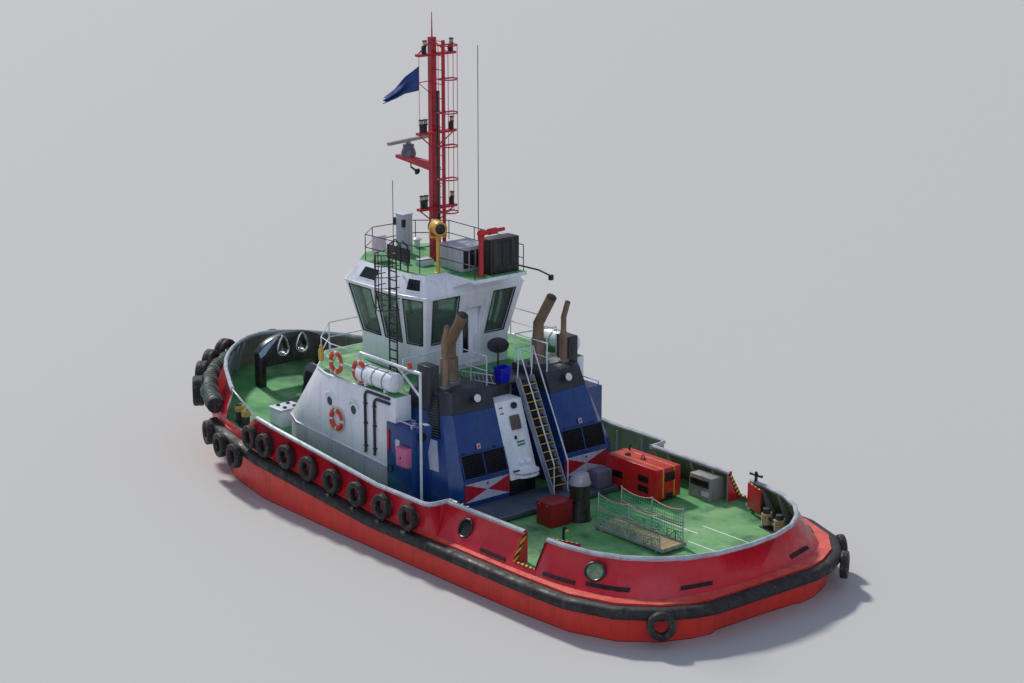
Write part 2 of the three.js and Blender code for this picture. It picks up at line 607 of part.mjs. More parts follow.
// Exhaust stacks: columns name: foot x, foot y, radius, upright top z, tip x, tip z
const STACKS = [
  [-1250, 1830, 210, 6150, -1900, 7150],
  [-1750, 2480, 110, 6350, -1950, 6900],
];
const stackPair = join(...STACKS.map(([x, y, radius, elbow, tipX, tip]) => join(
  bar(vec(x, y, CASING_TOP_Z + GAP), vec(x, y, CASING_TOP_Z + 80), radius * 1.7, 12),
  bar(vec(x, y, CASING_TOP_Z + 40), vec(x, y, elbow - 500), radius * 1.15, 10),
  pipe([vec(x, y, CASING_TOP_Z + 60), vec(x, y, elbow), vec(tipX, y, tip)], radius * 0.85, 10),
)), block([-1760, -1240], [1800, 2500], [CASING_TOP_Z + GAP, CASING_TOP_Z + 40]));
place(boat, 'port_stacks', stackPair, BRONZE);
place(boat, 'starboard_stacks', flip(stackPair), BRONZE);

// Wheelhouse: walls with cut windows, roof, glazing and door

const sillPlan = mirrored([[180, 1720], [950, 1930], [3300, 1930], [4150, 1050]]);
const eavePlan = mirrored([[-280, 2020], [750, 2300], [3700, 2300], [4700, 1265]]);
const roofPlan = mirrored([[180, 1700], [900, 1900], [3450, 1900], [4250, 1070]]);
const houseZ = BRIDGE_DECK_Z + GAP;
const wheelhouseOuter = loft([ringAt(sillPlan, houseZ), ringAt(sillPlan, SILL_Z),
  ringAt(eavePlan, EAVE_Z)]);
const wheelhouseInner = loft([ringAt(inset(sillPlan, WALL), houseZ + 60),
  ringAt(inset(sillPlan, WALL), SILL_Z), ringAt(inset(eavePlan, WALL), EAVE_Z + 1)]);

// An opening through a leaning wall panel between two plan corners.
// columns: first corner of the panel, reach of the cut, start part, end part, sill part, head part
function windowCut([from, reach, start, end, low, high]) {
  const corner = (plan, z, i, t) => {
    const [ax, ay] = plan[i];
    const [bx, by] = plan[(i + 1) % plan.length];
    return vec(lerp(ax, bx, t), lerp(ay, by, t), z);
  };
  const point = (t, rise) => corner(sillPlan, SILL_Z, from, t)
    .lerp(corner(eavePlan, EAVE_Z, from, t), rise);
  const frame = [point(start, low), point(end, low), point(end, high), point(start, high)];
  const across = frame[1].clone().sub(frame[0]);
  const up = frame[3].clone().sub(frame[0]);
  const normal = across.cross(up).normalize().multiplyScalar(reach);
  return loft([-1, 1].map((side) => frame.map((corner4) =>
    corner4.clone().addScaledVector(normal, side))));
}

const PANEL = { portAft: 0, portFore: 1, portBow: 2, bow: 3, starboardBow: 4,
  starboardFore: 5, starboardAft: 6, aft: 7 };
const WINDOW_REACH = 200;
const WINDOWS = [
  [PANEL.portAft, WINDOW_REACH, 0.14, 0.90, 0.05, 0.93],
  [PANEL.portFore, WINDOW_REACH, 0.06, 0.44, 0.05, 0.93],
  [PANEL.portFore, WINDOW_REACH, 0.54, 0.95, 0.05, 0.93],
  [PANEL.portBow, WINDOW_REACH, 0.08, 0.92, 0.05, 0.93],
  [PANEL.bow, WINDOW_REACH, 0.04, 0.47, 0.05, 0.93],
  [PANEL.bow, WINDOW_REACH, 0.53, 0.96, 0.05, 0.93],
  [PANEL.starboardBow, WINDOW_REACH, 0.08, 0.92, 0.05, 0.93],
  [PANEL.starboardFore, WINDOW_REACH, 0.05, 0.46, 0.05, 0.93],
  [PANEL.starboardFore, WINDOW_REACH, 0.56, 0.94, 0.05, 0.93],
  [PANEL.starboardAft, WINDOW_REACH, 0.10, 0.86, 0.05, 0.93],
  [PANEL.aft, WINDOW_REACH, 0.07, 0.30, 0.08, 0.90],
  [PANEL.aft, WINDOW_REACH, 0.66, 0.93, 0.05, 0.93],
];

// The aft door opening is upright, so its recess is cut through the leaning panel.
const DOOR = { y: [-380, 320], z: [4960, 6760], face: 100 };
const doorCut = block([-700, 500], [DOOR.y[0] - 8, DOOR.y[1] + 8], [DOOR.z[0] - 8, DOOR.z[1] + 8]);
const doorTrunk = block([60, 330], [DOOR.y[0] - 130, DOOR.y[1] + 130],
  [DOOR.z[0] - 120, DOOR.z[1] + 250]);
const DOOR_PIN = { x: 62, y: 310 };
const HINGE_ZS = [5200, 6500];
const hingeSeats = HINGE_ZS.map((z) =>
  block([DOOR_PIN.x - 12, DOOR_PIN.x + 6], [DOOR_PIN.y - 6, DOOR_PIN.y + 30], [z - 30, z - GAP]));
const wheelhouseWalls = join(cut(
  join(cut(wheelhouseOuter, wheelhouseInner), doorTrunk),
  ...WINDOWS.map(windowCut), doorCut), ...hingeSeats);
place(boat, 'wheelhouse', wheelhouseWalls, WHITE);

// Roof: sloped sides, a flat deck and a canopy over the door
const roofOuter = loft([ringAt(eavePlan, EAVE_Z + GAP), ringAt(roofPlan, ROOF_Z)]);
const roofInner = loft([ringAt(inset(eavePlan, WALL), EAVE_Z - 1),
  ringAt(inset(roofPlan, WALL), ROOF_Z - WALL)]);
const canopy = block([-1350, 400], [-1250, 900], [ROOF_Z - 120, ROOF_Z]);
const gussets = join(...[[-1250, -1180], [830, 900]].map((y) => loft(y.map((side) =>
  [[-1100, ROOF_Z - 100], [300, ROOF_Z - 100], [300, ROOF_Z - 480], [-60, ROOF_Z - 480]]
    .map(([x, z]) => vec(x, side, z))))));
place(boat, 'wheelhouse_roof', cut(join(roofOuter, canopy, gussets), roofInner), WHITE);

// Glazing: one band of glass just inside the window openings
const GLASS_THICK = 12;
const SEAL = 1;
function glassPlan(part, depth) {
  const low = ringAt(inset(sillPlan, WALL + SEAL + depth), SILL_Z);
  const high = ringAt(inset(eavePlan, WALL + SEAL + depth), EAVE_Z);
  return low.map((point, i) => point.clone().lerp(high[i], part));
}
const glassBand = (depth, low, high) => loft([glassPlan(low, depth), glassPlan(high, depth)]);
const glazing = cut(glassBand(0, 0.02, 0.96), glassBand(GLASS_THICK, 0.0, 0.99),
  block([-700, 560], [DOOR.y[0] - 140, DOOR.y[1] + 140], [SILL_Z - 100, EAVE_Z + 100]));
place(boat, 'wheelhouse_glazing', glazing, GLASS);

// Console and helm chair seen through the glass
const console = join(
  block([2600, 3300], [-1200, 1200], [houseZ + 60.4, 5750]),
  block([2500, 3350], [-1300, 1300], [5700, 5800]));
place(boat, 'helm_console', console, GREY);
const helmChair = join(
  bar(vec(1750, 0, houseZ + 60.4), vec(1750, 0, 5250), 60, 10),
  block([1500, 2000], [-240, 240], [5230, 5350]),
  block([1470, 1570], [-240, 240], [5300, 6000]));
place(boat, 'helm_chair', helmChair, BLACK);

// Doors hang on pins at their port edge
function leaf(x, y, z, windowY, windowZ) {
  const panel = block(x, y, z);
  const pane = block([x[0] - 5, x[0] + 12], windowY, windowZ);
  const handle = bar(vec(x[0] - 40, y[0] + 90, (z[0] + z[1]) / 2 - 60),
    vec(x[0] + 5, y[0] + 90, (z[0] + z[1]) / 2 - 60), 14, 8);
  return join(cut(panel, pane), handle);
}
const doorLeaf = join(
  leaf([72, 112], [DOOR.y[0], DOOR.y[1] - 2], DOOR.z, [60, 250], [5250, 6450]),
  ...HINGE_ZS.map((z) => bar(vec(DOOR_PIN.x, DOOR_PIN.y, z),
    vec(DOOR_PIN.x, DOOR_PIN.y, z + 120), 14, 8)));
place(boat, 'wheelhouse_door', doorLeaf, WHITE);

// Recess between the casings: white inclined panel and the stair
const slopeX = (z) => lerp(-3350, -2640, (z - KNUCKLE_Z) / (BLACK_Z - KNUCKLE_Z));
const panelSide = [[slopeX(1950), 1950], [slopeX(4300), 4300], [HOUSE_AFT_X - GAP, 4300],
  [HOUSE_AFT_X - GAP, 1950]];
const recessPanel = loft([60, CASING_IN - GAP].map((y) =>
  panelSide.map(([x, z]) => vec(x, y, z))));
place(boat, 'aft_bulkhead', recessPanel, WHITE);
place(boat, 'bridge_deck_aft', join(
  block([-2050, CASING_FRONT_X], [60, CASING_IN - GAP], [4300 + GAP, BRIDGE_DECK_Z]),
  block([-2050, CASING_FRONT_X], [-CASING_IN + GAP, 61], [4600, BRIDGE_DECK_Z])), DECK_GREEN);

// Slate platform on the aft deck
const PLATFORM_Z = 1420;
place(boat, 'aft_platform', block([-4750, -3350 - 2 * GAP], [-2250, 2900],
  [DECK_Z + GAP + 60, PLATFORM_Z]), SLATE);

// Stair with nosings and handrails
const STAIR = { y: [-630, -20], foot: [-4080, PLATFORM_Z + GAP], head: [-2350, 4900], treads: 13 };
function stairPoint(t, rise = 0) {
  return [lerp(STAIR.foot[0], STAIR.head[0], t), lerp(STAIR.foot[1], STAIR.head[1], t) + rise];
}
const stringer = (y) => loft([y, y + 30].map((side) => [
  [STAIR.foot[0] - 90, STAIR.foot[1]], [STAIR.foot[0] + 120, STAIR.foot[1]],
  [STAIR.head[0] + 120, STAIR.head[1] - 120], [STAIR.head[0] + 60, STAIR.head[1] - 10],
  [STAIR.head[0] - 90, STAIR.head[1] - 10]].map(([x, z]) => vec(x, side, z))));
const treads = Array.from({ length: STAIR.treads }, (_, i) => {
  const [x, z] = stairPoint((i + 1) / (STAIR.treads + 1));
  return block([x - 110, x + 110], [STAIR.y[0] + 10, STAIR.y[1] - 10], [z - 15, z + 15]);
});
const handrail = (y) => {
  const corners = [
    vec(STAIR.foot[0] - 40, y, STAIR.foot[1] + 60), vec(STAIR.foot[0] - 40, y, STAIR.foot[1] + 980),
    vec(STAIR.head[0] - 40, y, STAIR.head[1] + 950), vec(STAIR.head[0] + 30, y, STAIR.head[1] - 80)];
  return join(...corners.slice(1).map((corner, i) => bar(corners[i], corner, 22, 4)));
};
place(boat, 'aft_stair', join(stringer(STAIR.y[0]), stringer(STAIR.y[1] - 30), ...treads,
  handrail(STAIR.y[0] + 15), handrail(STAIR.y[1] - 15)), GALVANISED);

// Guard rails: posts and two levels of bar along a plan path
function guardRail(path, base, height, spacing = 1300, radius = 20, close = false) {
  const pieces = [];
  const points = close ? [...path, path[0]] : path;
  for (let i = 1; i < points.length; i += 1) {
    const [ax, ay] = points[i - 1];
    const [bx, by] = points[i];
    const steps = Math.max(1, Math.round(Math.hypot(bx - ax, by - ay) / spacing));
    for (let k = i === 1 ? 0 : 1; k <= steps; k += 1) {
      if (close && i === points.length - 1 && k === steps) break;
      const x = lerp(ax, bx, k / steps);
      const y = lerp(ay, by, k / steps);
      pieces.push(bar(vec(x, y, base + GAP), vec(x, y, base + height), radius * 1.1, 3));
    }
    [height * 0.5, height].forEach((rise) => pieces.push(
      bar(vec(ax, ay, base + rise), vec(bx, by, base + rise), radius, 4)));
  }
  return join(...pieces);
}
const bridgeRailHalf = [[980, 3820], [2500, 3800], [3380, 3540], [4750, 2250]];
const bridgeRailPath = mirrored(bridgeRailHalf);
const RAIL_END = { x: -560, y: 3200, radius: 22 };
const casingRail = join(
  guardRail([[-760, 1250], [-2350, 1250]], CASING_TOP_Z, 950, 800),
  bar(vec(RAIL_END.x, RAIL_END.y, BRIDGE_DECK_Z + GAP),
    vec(RAIL_END.x, RAIL_END.y, BRIDGE_DECK_Z + 1020), RAIL_END.radius, 4),
  ...[950, 475].map((rise) => bar(vec(-760, 1250, CASING_TOP_Z + rise),
    vec(RAIL_END.x, RAIL_END.y, BRIDGE_DECK_Z + rise * 1.05), 20, 4)));
place(boat, 'bridge_rails', guardRail(bridgeRailPath, BRIDGE_DECK_Z, 1000), WHITE);
place(boat, 'port_casing_rails', casingRail, WHITE);
place(boat, 'starboard_casing_rails', flip(casingRail), WHITE);
const roofRailPath = [[-1250, 820], [500, 860], [560, 1620], [3300, 1750], [4050, 900],
  [4050, -900], [3300, -1750], [450, -1640], [300, -1190], [-1250, -1190]];
place(boat, 'roof_rails', guardRail(roofRailPath, ROOF_Z, 850, 1500, 16), BLACK);

// Mast: a square column and a ladder post joined by rungs, arms and a radar bracket
const HALYARD = { x: 1790, y: 620, yard: 13900 };

const MAST = { x: 1900, side: 200, top: 15600, postX: 1330 };
const rungZs = planX(8300, 15200, 15);
const ARMS = [14780, 12250, 9770];   // heights of the lamp arms
const ARM = { aft: 1600, front: 1810, half: 760, thick: 80 };
// The radar stands on a bracket ahead of the mast
const RADAR = { x: 3200, z: 11650, shelf: 11250, reach: 3750 };
const mast = join(
  block([MAST.x - MAST.side / 2, MAST.x + MAST.side / 2], [-MAST.side / 2, MAST.side / 2],
    [ROOF_Z + GAP, 15300]),
  block([MAST.x - 190, MAST.x + 190], [-190, 190], [ROOF_Z + GAP, ROOF_Z + 40]),
  bar(vec(MAST.x, 0, 15250), vec(MAST.x, 0, MAST.top + 500), 28, 8, 12),
  bar(vec(MAST.postX, 0, ROOF_Z + GAP), vec(MAST.postX, 0, 15250), 60, 8),
  ...rungZs.map((z) => bar(vec(MAST.postX, 0, z), vec(MAST.x, 0, z), 14, 4)),
  ...ARMS.map((z) => block([ARM.aft, ARM.front], [-ARM.half, ARM.half],
    [z - ARM.thick / 2, z + ARM.thick / 2])),
  loft([[MAST.x, 300, 90], [RADAR.reach, 100, 130]].map(([x, deep, half]) =>
    [[-half, RADAR.shelf - deep], [half, RADAR.shelf - deep], [half, RADAR.shelf],
      [-half, RADAR.shelf]].map(([y, z]) => vec(x, y, z)))),
  bar(vec(RADAR.x, 0, RADAR.shelf - 20), vec(RADAR.x, 0, RADAR.z), 190, 14),
  bar(vec(MAST.x, 0, HALYARD.yard), vec(HALYARD.x, HALYARD.y, HALYARD.yard), 16, 6),
  bar(vec(MAST.x, 0, HALYARD.yard - 480), vec(HALYARD.x, HALYARD.y, HALYARD.yard - 20), 14, 6),
  bar(vec(HALYARD.x, HALYARD.y, ARMS[1]), vec(HALYARD.x, HALYARD.y, ARMS[0]), 9, 6));

// Lamps stand on the mast arms
const LAMP_YS = [-600, 480];
const mastLamps = ARMS.flatMap((z) => LAMP_YS.map((y) =>
  bar(vec(ARM.front - 100, y, z + 30), vec(ARM.front - 100, y, z + 270), 80, 8)));

// Safety cage round the climbing side of the ladder post
const CAGE = { radius: 330, hoops: 6 };
const hoopZs = planX(9700, 15100, CAGE.hoops - 1);
function hoop(z) {
  const arc = new THREE.Shape();
  const r = CAGE.radius;
  arc.absarc(0, 0, r, -Math.PI * 0.62, Math.PI * 0.62, false);
  arc.absarc(0, 0, r - 24, Math.PI * 0.62, -Math.PI * 0.62, true);
  return new THREE.ExtrudeGeometry(arc, { depth: 40, bevelEnabled: false, curveSegments: 5 })
    .rotateZ(Math.PI).translate(MAST.postX - 230, 0, z);
}
const CAGE_TURNS = [-0.6, -0.2, 0.2, 0.6];
const cage = join(...hoopZs.map(hoop), ...CAGE_TURNS.map((turn) => {
  const at = (z) => vec(MAST.postX - 230 - Math.cos(turn * Math.PI) * (CAGE.radius - 12),
    Math.sin(turn * Math.PI) * (CAGE.radius - 12), z);
  return bar(at(hoopZs[0]), at(15140), 14, 4);
}));
const cageStays = hoopZs.map((z) => block([MAST.postX - 125, MAST.postX - 40], [-305, 305],
  [z, z + 40]));
place(boat, 'mast', join(mast, ...mastLamps, cage, ...cageStays), SIGNAL_RED);

// Radar scanner turns on its gearbox
const scanner = join(
  bar(vec(0, 0, GAP), vec(0, 0, 110), 80, 12),
  block([-60, 60], [-1000, 1000], [90, 190]))
  .rotate([0, 0, 12]).translate([RADAR.x, 0, RADAR.z]);
place(boat, 'radar_scanner', scanner, WHITE);

// Roof equipment

const SEARCH = { x: 300, y: 1080, head: 9100 };
place(boat, 'searchlight_post', join(
  bar(vec(SEARCH.x, SEARCH.y, ROOF_Z + GAP), vec(SEARCH.x, SEARCH.y, SEARCH.head), 60, 10),
  block([SEARCH.x - 110, SEARCH.x + 110], [SEARCH.y - 110, SEARCH.y + 110],
    [ROOF_Z + GAP, ROOF_Z + 20])), YELLOW);
const searchlight = join(
  bar(vec(0, 0, GAP), vec(0, 0, 90), 90, 12),
  block([-40, 40], [-290, -260], [60, 430]), block([-40, 40], [260, 290], [60, 430]),
  block([-50, 50], [-290, 290], [60, 100]),
  bar(vec(-270, 0, 370), vec(230, 0, 370), 235, 16),
  bar(vec(0, -280, 370), vec(0, 280, 370), 30, 8))
  .rotate([0, 0, -20]).translate([SEARCH.x, SEARCH.y, SEARCH.head]);
place(boat, 'searchlight', searchlight, YELLOW);

const MONITOR = { x: -950, y: 320, seat: 9150 };
place(boat, 'monitor_post', join(
  bar(vec(MONITOR.x, MONITOR.y, ROOF_Z + GAP), vec(MONITOR.x, MONITOR.y, MONITOR.seat), 85, 12),
  bar(vec(MONITOR.x, MONITOR.y, ROOF_Z + GAP), vec(MONITOR.x, MONITOR.y, ROOF_Z + 25), 150, 12)),
SIGNAL_RED);
const monitorHead = join(
  bar(vec(0, 0, GAP), vec(0, 0, 210), 105, 12),
  new THREE.SphereGeometry(135, 10, 6).translate(0, 0, 230),
  bar(vec(0, 0, 230), vec(0, -950, 260), 85, 12, 60),
  bar(vec(0, -300, 240), vec(0, -620, 250), 105, 12))
  .translate([MONITOR.x, MONITOR.y, MONITOR.seat]);
place(boat, 'fire_monitor', monitorHead, SIGNAL_RED);

// columns: node, x range, y range, height, colour
const ROOF_BOXES = [
  ['roof_tank', [-250, 900], [-560, 560], 820, PALE_GREY],
  ['roof_locker', [-1120, -560], [-1120, 60], 1150, BLACK],
  ['roof_cabinet', [3050, 3450], [-20, 380], 1330, PALE_GREY],
];
ROOF_BOXES.forEach(([name, x, y, high, material]) => {
  place(boat, name, block(x, y, [ROOF_Z + GAP, ROOF_Z + high]), material);
});
place(boat, 'roof_board', join(
  block([2980, 3010], [1130, 1700], [ROOF_Z + 260, ROOF_Z + 800]),
  bar(vec(2995, 1250, ROOF_Z + GAP), vec(2995, 1250, ROOF_Z + 300), 18, 6),
  bar(vec(2995, 1580, ROOF_Z + GAP), vec(2995, 1580, ROOF_Z + 300), 18, 6)), WHITE);

// Life raft canisters on the bridge deck, and the frame on the port side

const RAFT = { x: [-850, 880], y: 3700, z: 5050, radius: 320, saddles: [-500, 520] };
const raft = join(
  bar(vec(RAFT.x[0], RAFT.y, RAFT.z), vec(RAFT.x[1], RAFT.y, RAFT.z), RAFT.radius, 12),
  ...RAFT.saddles.map((x) => block([x - 30, x + 30], [RAFT.y - 240, RAFT.y + 220],
    [BRIDGE_DECK_Z + GAP, RAFT.z - 100])));
place(boat, 'port_liferaft', raft, WHITE);
place(boat, 'starboard_liferaft', flip(raft), WHITE);

// Frame over the port raft: a post on the main deck, a beam, a brace and a post on the bridge deck
const FRAME = { x: -2170, y: 3750, top: 5680, fore: 935 };
place(boat, 'port_frame', join(
  seat(bar(vec(FRAME.x, FRAME.y, DECK_Z), vec(FRAME.x, FRAME.y, FRAME.top), 45, 8), hullShape),
  bar(vec(FRAME.x, FRAME.y, FRAME.top - 30), vec(FRAME.fore, FRAME.y, FRAME.top), 50, 8),
  bar(vec(FRAME.x, FRAME.y, FRAME.top - 800), vec(-960, FRAME.y, FRAME.top), 40, 8),
  bar(vec(FRAME.fore, FRAME.y, FRAME.top + 10), vec(FRAME.fore, FRAME.y, BRIDGE_DECK_Z + GAP), 35,
    8)), WHITE);

// Aft deck gear

place(boat, 'generator', join(
  block([-6430, -4050], [-3350, -2310], [DECK_Z + 90, 2300]),
  ...[-6200, -4400].map((x) => block([x - 60, x + 60], [-3300, -2360],
    [DECK_Z + GAP, DECK_Z + 100]))), SIGNAL_RED);
place(boat, 'deck_chest', block([-6050, -5330], [870, 1750], [DECK_Z + GAP, 1950]), SIGNAL_RED);
place(boat, 'platform_tank', block([-4700, -4200], [-2000, -1380], [PLATFORM_Z + GAP, 2010]),
  CANVAS);
const POST = { x: -5950, y: 500, radius: 320, top: 2700 };
place(boat, 'towing_post', join(
  bar(vec(POST.x, POST.y, DECK_Z + GAP), vec(POST.x, POST.y, DECK_Z + 60), 360, 20),
  bar(vec(POST.x, POST.y, DECK_Z + 30), vec(POST.x, POST.y, POST.top - 320), POST.radius, 20),
  bar(vec(POST.x, POST.y, POST.top - 330), vec(POST.x, POST.y, POST.top), POST.radius + 30, 20,
    POST.radius - 60)), BLACK);
// Gangway lying on the aft deck, with its posts up
const GANGWAY = { x: [-9900, -6900], y: [-250, 750], deck: 1350 };
const gangwayPosts = [-9750, -8400, -7050].flatMap((x) => [GANGWAY.y[0] + 25, GANGWAY.y[1] - 25]
  .map((y) => bar(vec(x, y, GANGWAY.deck - 80), vec(x, y, 2420), 22, 6)));
const gangwayFeet = [-9600, -7200].map((x) => block([x - 50, x + 50], GANGWAY.y,
  [DECK_Z + GAP, GANGWAY.deck - 80]));
place(boat, 'gangway', join(
  block(GANGWAY.x, GANGWAY.y, [GANGWAY.deck - 90, GANGWAY.deck]), ...gangwayFeet, ...gangwayPosts,
  ...[GANGWAY.y[0] + 25, GANGWAY.y[1] - 25].map((y) => bar(vec(-9750, y, GANGWAY.deck + 500),
    vec(-7050, y, GANGWAY.deck + 500), 16, 6))), GALVANISED);

// Fore deck: towing staple with two fairlead holes, winch and locker
const STAPLE = { x: 10250, deep: 300, half: 1450, leg: 300, shoulder: 3300, apex: 3850,
  under: 2750, eyeY: 410, eyeZ: 3330, eye: 210 };
const stapleOutline = new THREE.Shape();
stapleOutline.moveTo(-STAPLE.half, 1950);
stapleOutline.lineTo(-STAPLE.half, STAPLE.shoulder);
stapleOutline.quadraticCurveTo(-STAPLE.half * 0.75, STAPLE.apex, 0, STAPLE.apex);
stapleOutline.quadraticCurveTo(STAPLE.half * 0.75, STAPLE.apex, STAPLE.half, STAPLE.shoulder);
stapleOutline.lineTo(STAPLE.half, 1950);
stapleOutline.lineTo(STAPLE.half - STAPLE.leg, 1950);
stapleOutline.lineTo(STAPLE.half - STAPLE.leg, STAPLE.under);
stapleOutline.lineTo(-STAPLE.half + STAPLE.leg, STAPLE.under);
stapleOutline.lineTo(-STAPLE.half + STAPLE.leg, 1950);
[-1, 1].forEach((side) => {
  const eye = new THREE.Path();
  eye.absarc(side * STAPLE.eyeY, STAPLE.eyeZ, STAPLE.eye, 0, Math.PI * 2, false);
  stapleOutline.holes.push(eye);
});
const staplePlate = new THREE.ExtrudeGeometry(stapleOutline,
  { depth: STAPLE.deep, bevelEnabled: false, curveSegments: 10 })
  .rotateX(Math.PI / 2).rotateZ(Math.PI / 2).translate(STAPLE.x, 0, 0);
place(boat, 'tow_staple', seat(staplePlate, hullShape), BLACK);

const WINCH = { x: 7700, z: 2750, half: 900, plate: 60, drum: 420, flange: 640, shaft: 80 };
const winchPlate = (y) => loft([y, y + WINCH.plate].map((side) => [[6950, deckZ(6950) - 60],
  [8450, deckZ(8450) - 60], [8050, WINCH.z + 330], [7350, WINCH.z + 330]]
  .map(([x, z]) => vec(x, side, z))));
const winchHole = bar(vec(WINCH.x, -2000, WINCH.z), vec(WINCH.x, 2000, WINCH.z),
  WINCH.shaft + 1, 24);
const winchFrame = cut(join(
  winchPlate(WINCH.half), winchPlate(-WINCH.half - WINCH.plate),
  loft([-1400, 1400].map((y) => [[6850, deckZ(6850) - 60], [8500, deckZ(8500) - 60],
    [8500, deckZ(8500) + 90], [6850, deckZ(6850) + 90]].map(([x, z]) => vec(x, y, z)))),
  block([7350, 8050], [-1500, -WINCH.half - WINCH.plate + 5], [WINCH.z - 350, WINCH.z + 350]),
  block([7450, 7950], [-1400, -1000], [1900, WINCH.z])), winchHole);
place(boat, 'winch_frame', seat(winchFrame, hullShape), BLACK);
const drumBar = (from, to, radius, sides) => bar(vec(WINCH.x, from, WINCH.z),
  vec(WINCH.x, to, WINCH.z), radius, sides);
place(boat, 'winch_drum', join(
  drumBar(-WINCH.half - 50, WINCH.half + 50, WINCH.shaft, 16),
  drumBar(-WINCH.half + 40, WINCH.half - 40, WINCH.drum, 20),
  ...[-WINCH.half + 10, WINCH.half - 60].map((y) => drumBar(y, y + 50, WINCH.flange, 24))), GREY);
place(boat, 'fore_locker', seat(block([6400, 7120], [2250, 3150], [1700, 2340]), hullShape), WHITE);

// Thrusters: leg, pod and nozzle turn under the hull; a propeller turns in each nozzle
const NOZZLE = { outer: 1050, inner: 900, half: 500, back: -500 };
const POD = { radius: 280, front: 600, rear: -420 };
const nozzleSection = [[NOZZLE.inner, -NOZZLE.half], [NOZZLE.inner + 60, -NOZZLE.half],
  [NOZZLE.outer - 20, 150], [NOZZLE.outer, 330], [NOZZLE.outer - 50, 460], [980, NOZZLE.half],
  [925, 430], [NOZZLE.inner, 260], [NOZZLE.inner, -NOZZLE.half]];
const nozzle = new THREE.LatheGeometry(nozzleSection.map(([r, x]) => new THREE.Vector2(r, x)), 20)
  .rotateZ(-Math.PI / 2).translate(NOZZLE.back, 0, 0);
const legHigh = THRUSTER.seat - THRUSTER.shaft;
const strut = (turn) => bar(
  vec(-230, Math.cos(turn) * 200, Math.sin(turn) * 200),
  vec(-230, Math.cos(turn) * (NOZZLE.inner + 60), Math.sin(turn) * (NOZZLE.inner + 60)), 55, 8);
const thruster = join(
  bar(vec(0, 0, legHigh - 60), vec(0, 0, legHigh - GAP), THRUSTER.steerRadius, 20),
  bar(vec(0, 0, 0), vec(0, 0, legHigh - 40), 260, 16),
  bar(vec(POD.rear, 0, 0), vec(POD.front - 200, 0, 0), POD.radius, 16),
  bar(vec(POD.front - 210, 0, 0), vec(POD.front, 0, 0), POD.radius, 16, 90),
  nozzle, ...[0, Math.PI, -Math.PI / 2].map(strut));
const BLADES = 4;
const PITCH = 1500;
// columns: radius, chord, thickness
const BLADE_SECTIONS = [[130, 300, 90], [400, 480, 56], [660, 540, 34], [850, 360, 14]];
function blade(turn) {
  const rings = BLADE_SECTIONS.map(([r, chord, thick]) => {
    const pitch = Math.atan(PITCH / (2 * Math.PI * r));
    const along = vec(Math.sin(pitch), Math.cos(pitch), 0);
    const across = vec(Math.cos(pitch), -Math.sin(pitch), 0);
    return [[-0.5, 0], [-0.15, 0.5], [0.25, 0.45], [0.5, 0], [0.25, -0.1], [-0.15, -0.1]]
      .map(([c, t]) => vec(0, 0, r).addScaledVector(along, c * chord)
        .addScaledVector(across, t * thick));
  });
  return loft(rings).rotateX(turn);
}
const propeller = join(
  bar(vec(POD.rear - GAP, 0, 0), vec(POD.rear - 330, 0, 0), 190, 20, 170),
  bar(vec(POD.rear - 325, 0, 0), vec(POD.rear - 520, 0, 0), 170, 20, 50),
  ...Array.from({ length: BLADES }, (_, i) =>
    blade((i * 2 * Math.PI) / BLADES).translate(POD.rear - 175, 0, 0)));
const atThruster = (shape) => asSolid(shape).translate([THRUSTER.x, THRUSTER.y, THRUSTER.shaft]);
place(boat, 'port_thruster', atThruster(thruster), FOULING_RED);
place(boat, 'starboard_thruster', flip(atThruster(thruster)), FOULING_RED);
place(boat, 'port_propeller', atThruster(propeller), PROP_BRONZE);
place(boat, 'starboard_propeller', flip(atThruster(propeller)), PROP_BRONZE);

// Flag on the port halyard, blown out to port and drooping
const FLAG = { x: HALYARD.x, thick: 16 };
// columns: distance out from the halyard, height of the upper edge, height of the lower edge
const FLAG_EDGES = [[9 + GAP, 14430, 13650], [500, 14120, 13600], [950, 13780, 13500], [1400, 13520, 13420]];
place(boat, 'flag', loft(FLAG_EDGES.map(([out, high, low]) => [[-1, low], [-1, high], [1, high],
  [1, low]].map(([side, z]) => vec(FLAG.x + side * FLAG.thick / 2, HALYARD.y + out, z)))),
FLAG_BLUE);
export default boat;
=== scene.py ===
# A harbour tugboat, finished over its solid model.
# Metres, +X towards the bow, +Y to port, +Z up, and the waterline at zero.

import json
import math

import bpy
from mathutils import Matrix, Vector

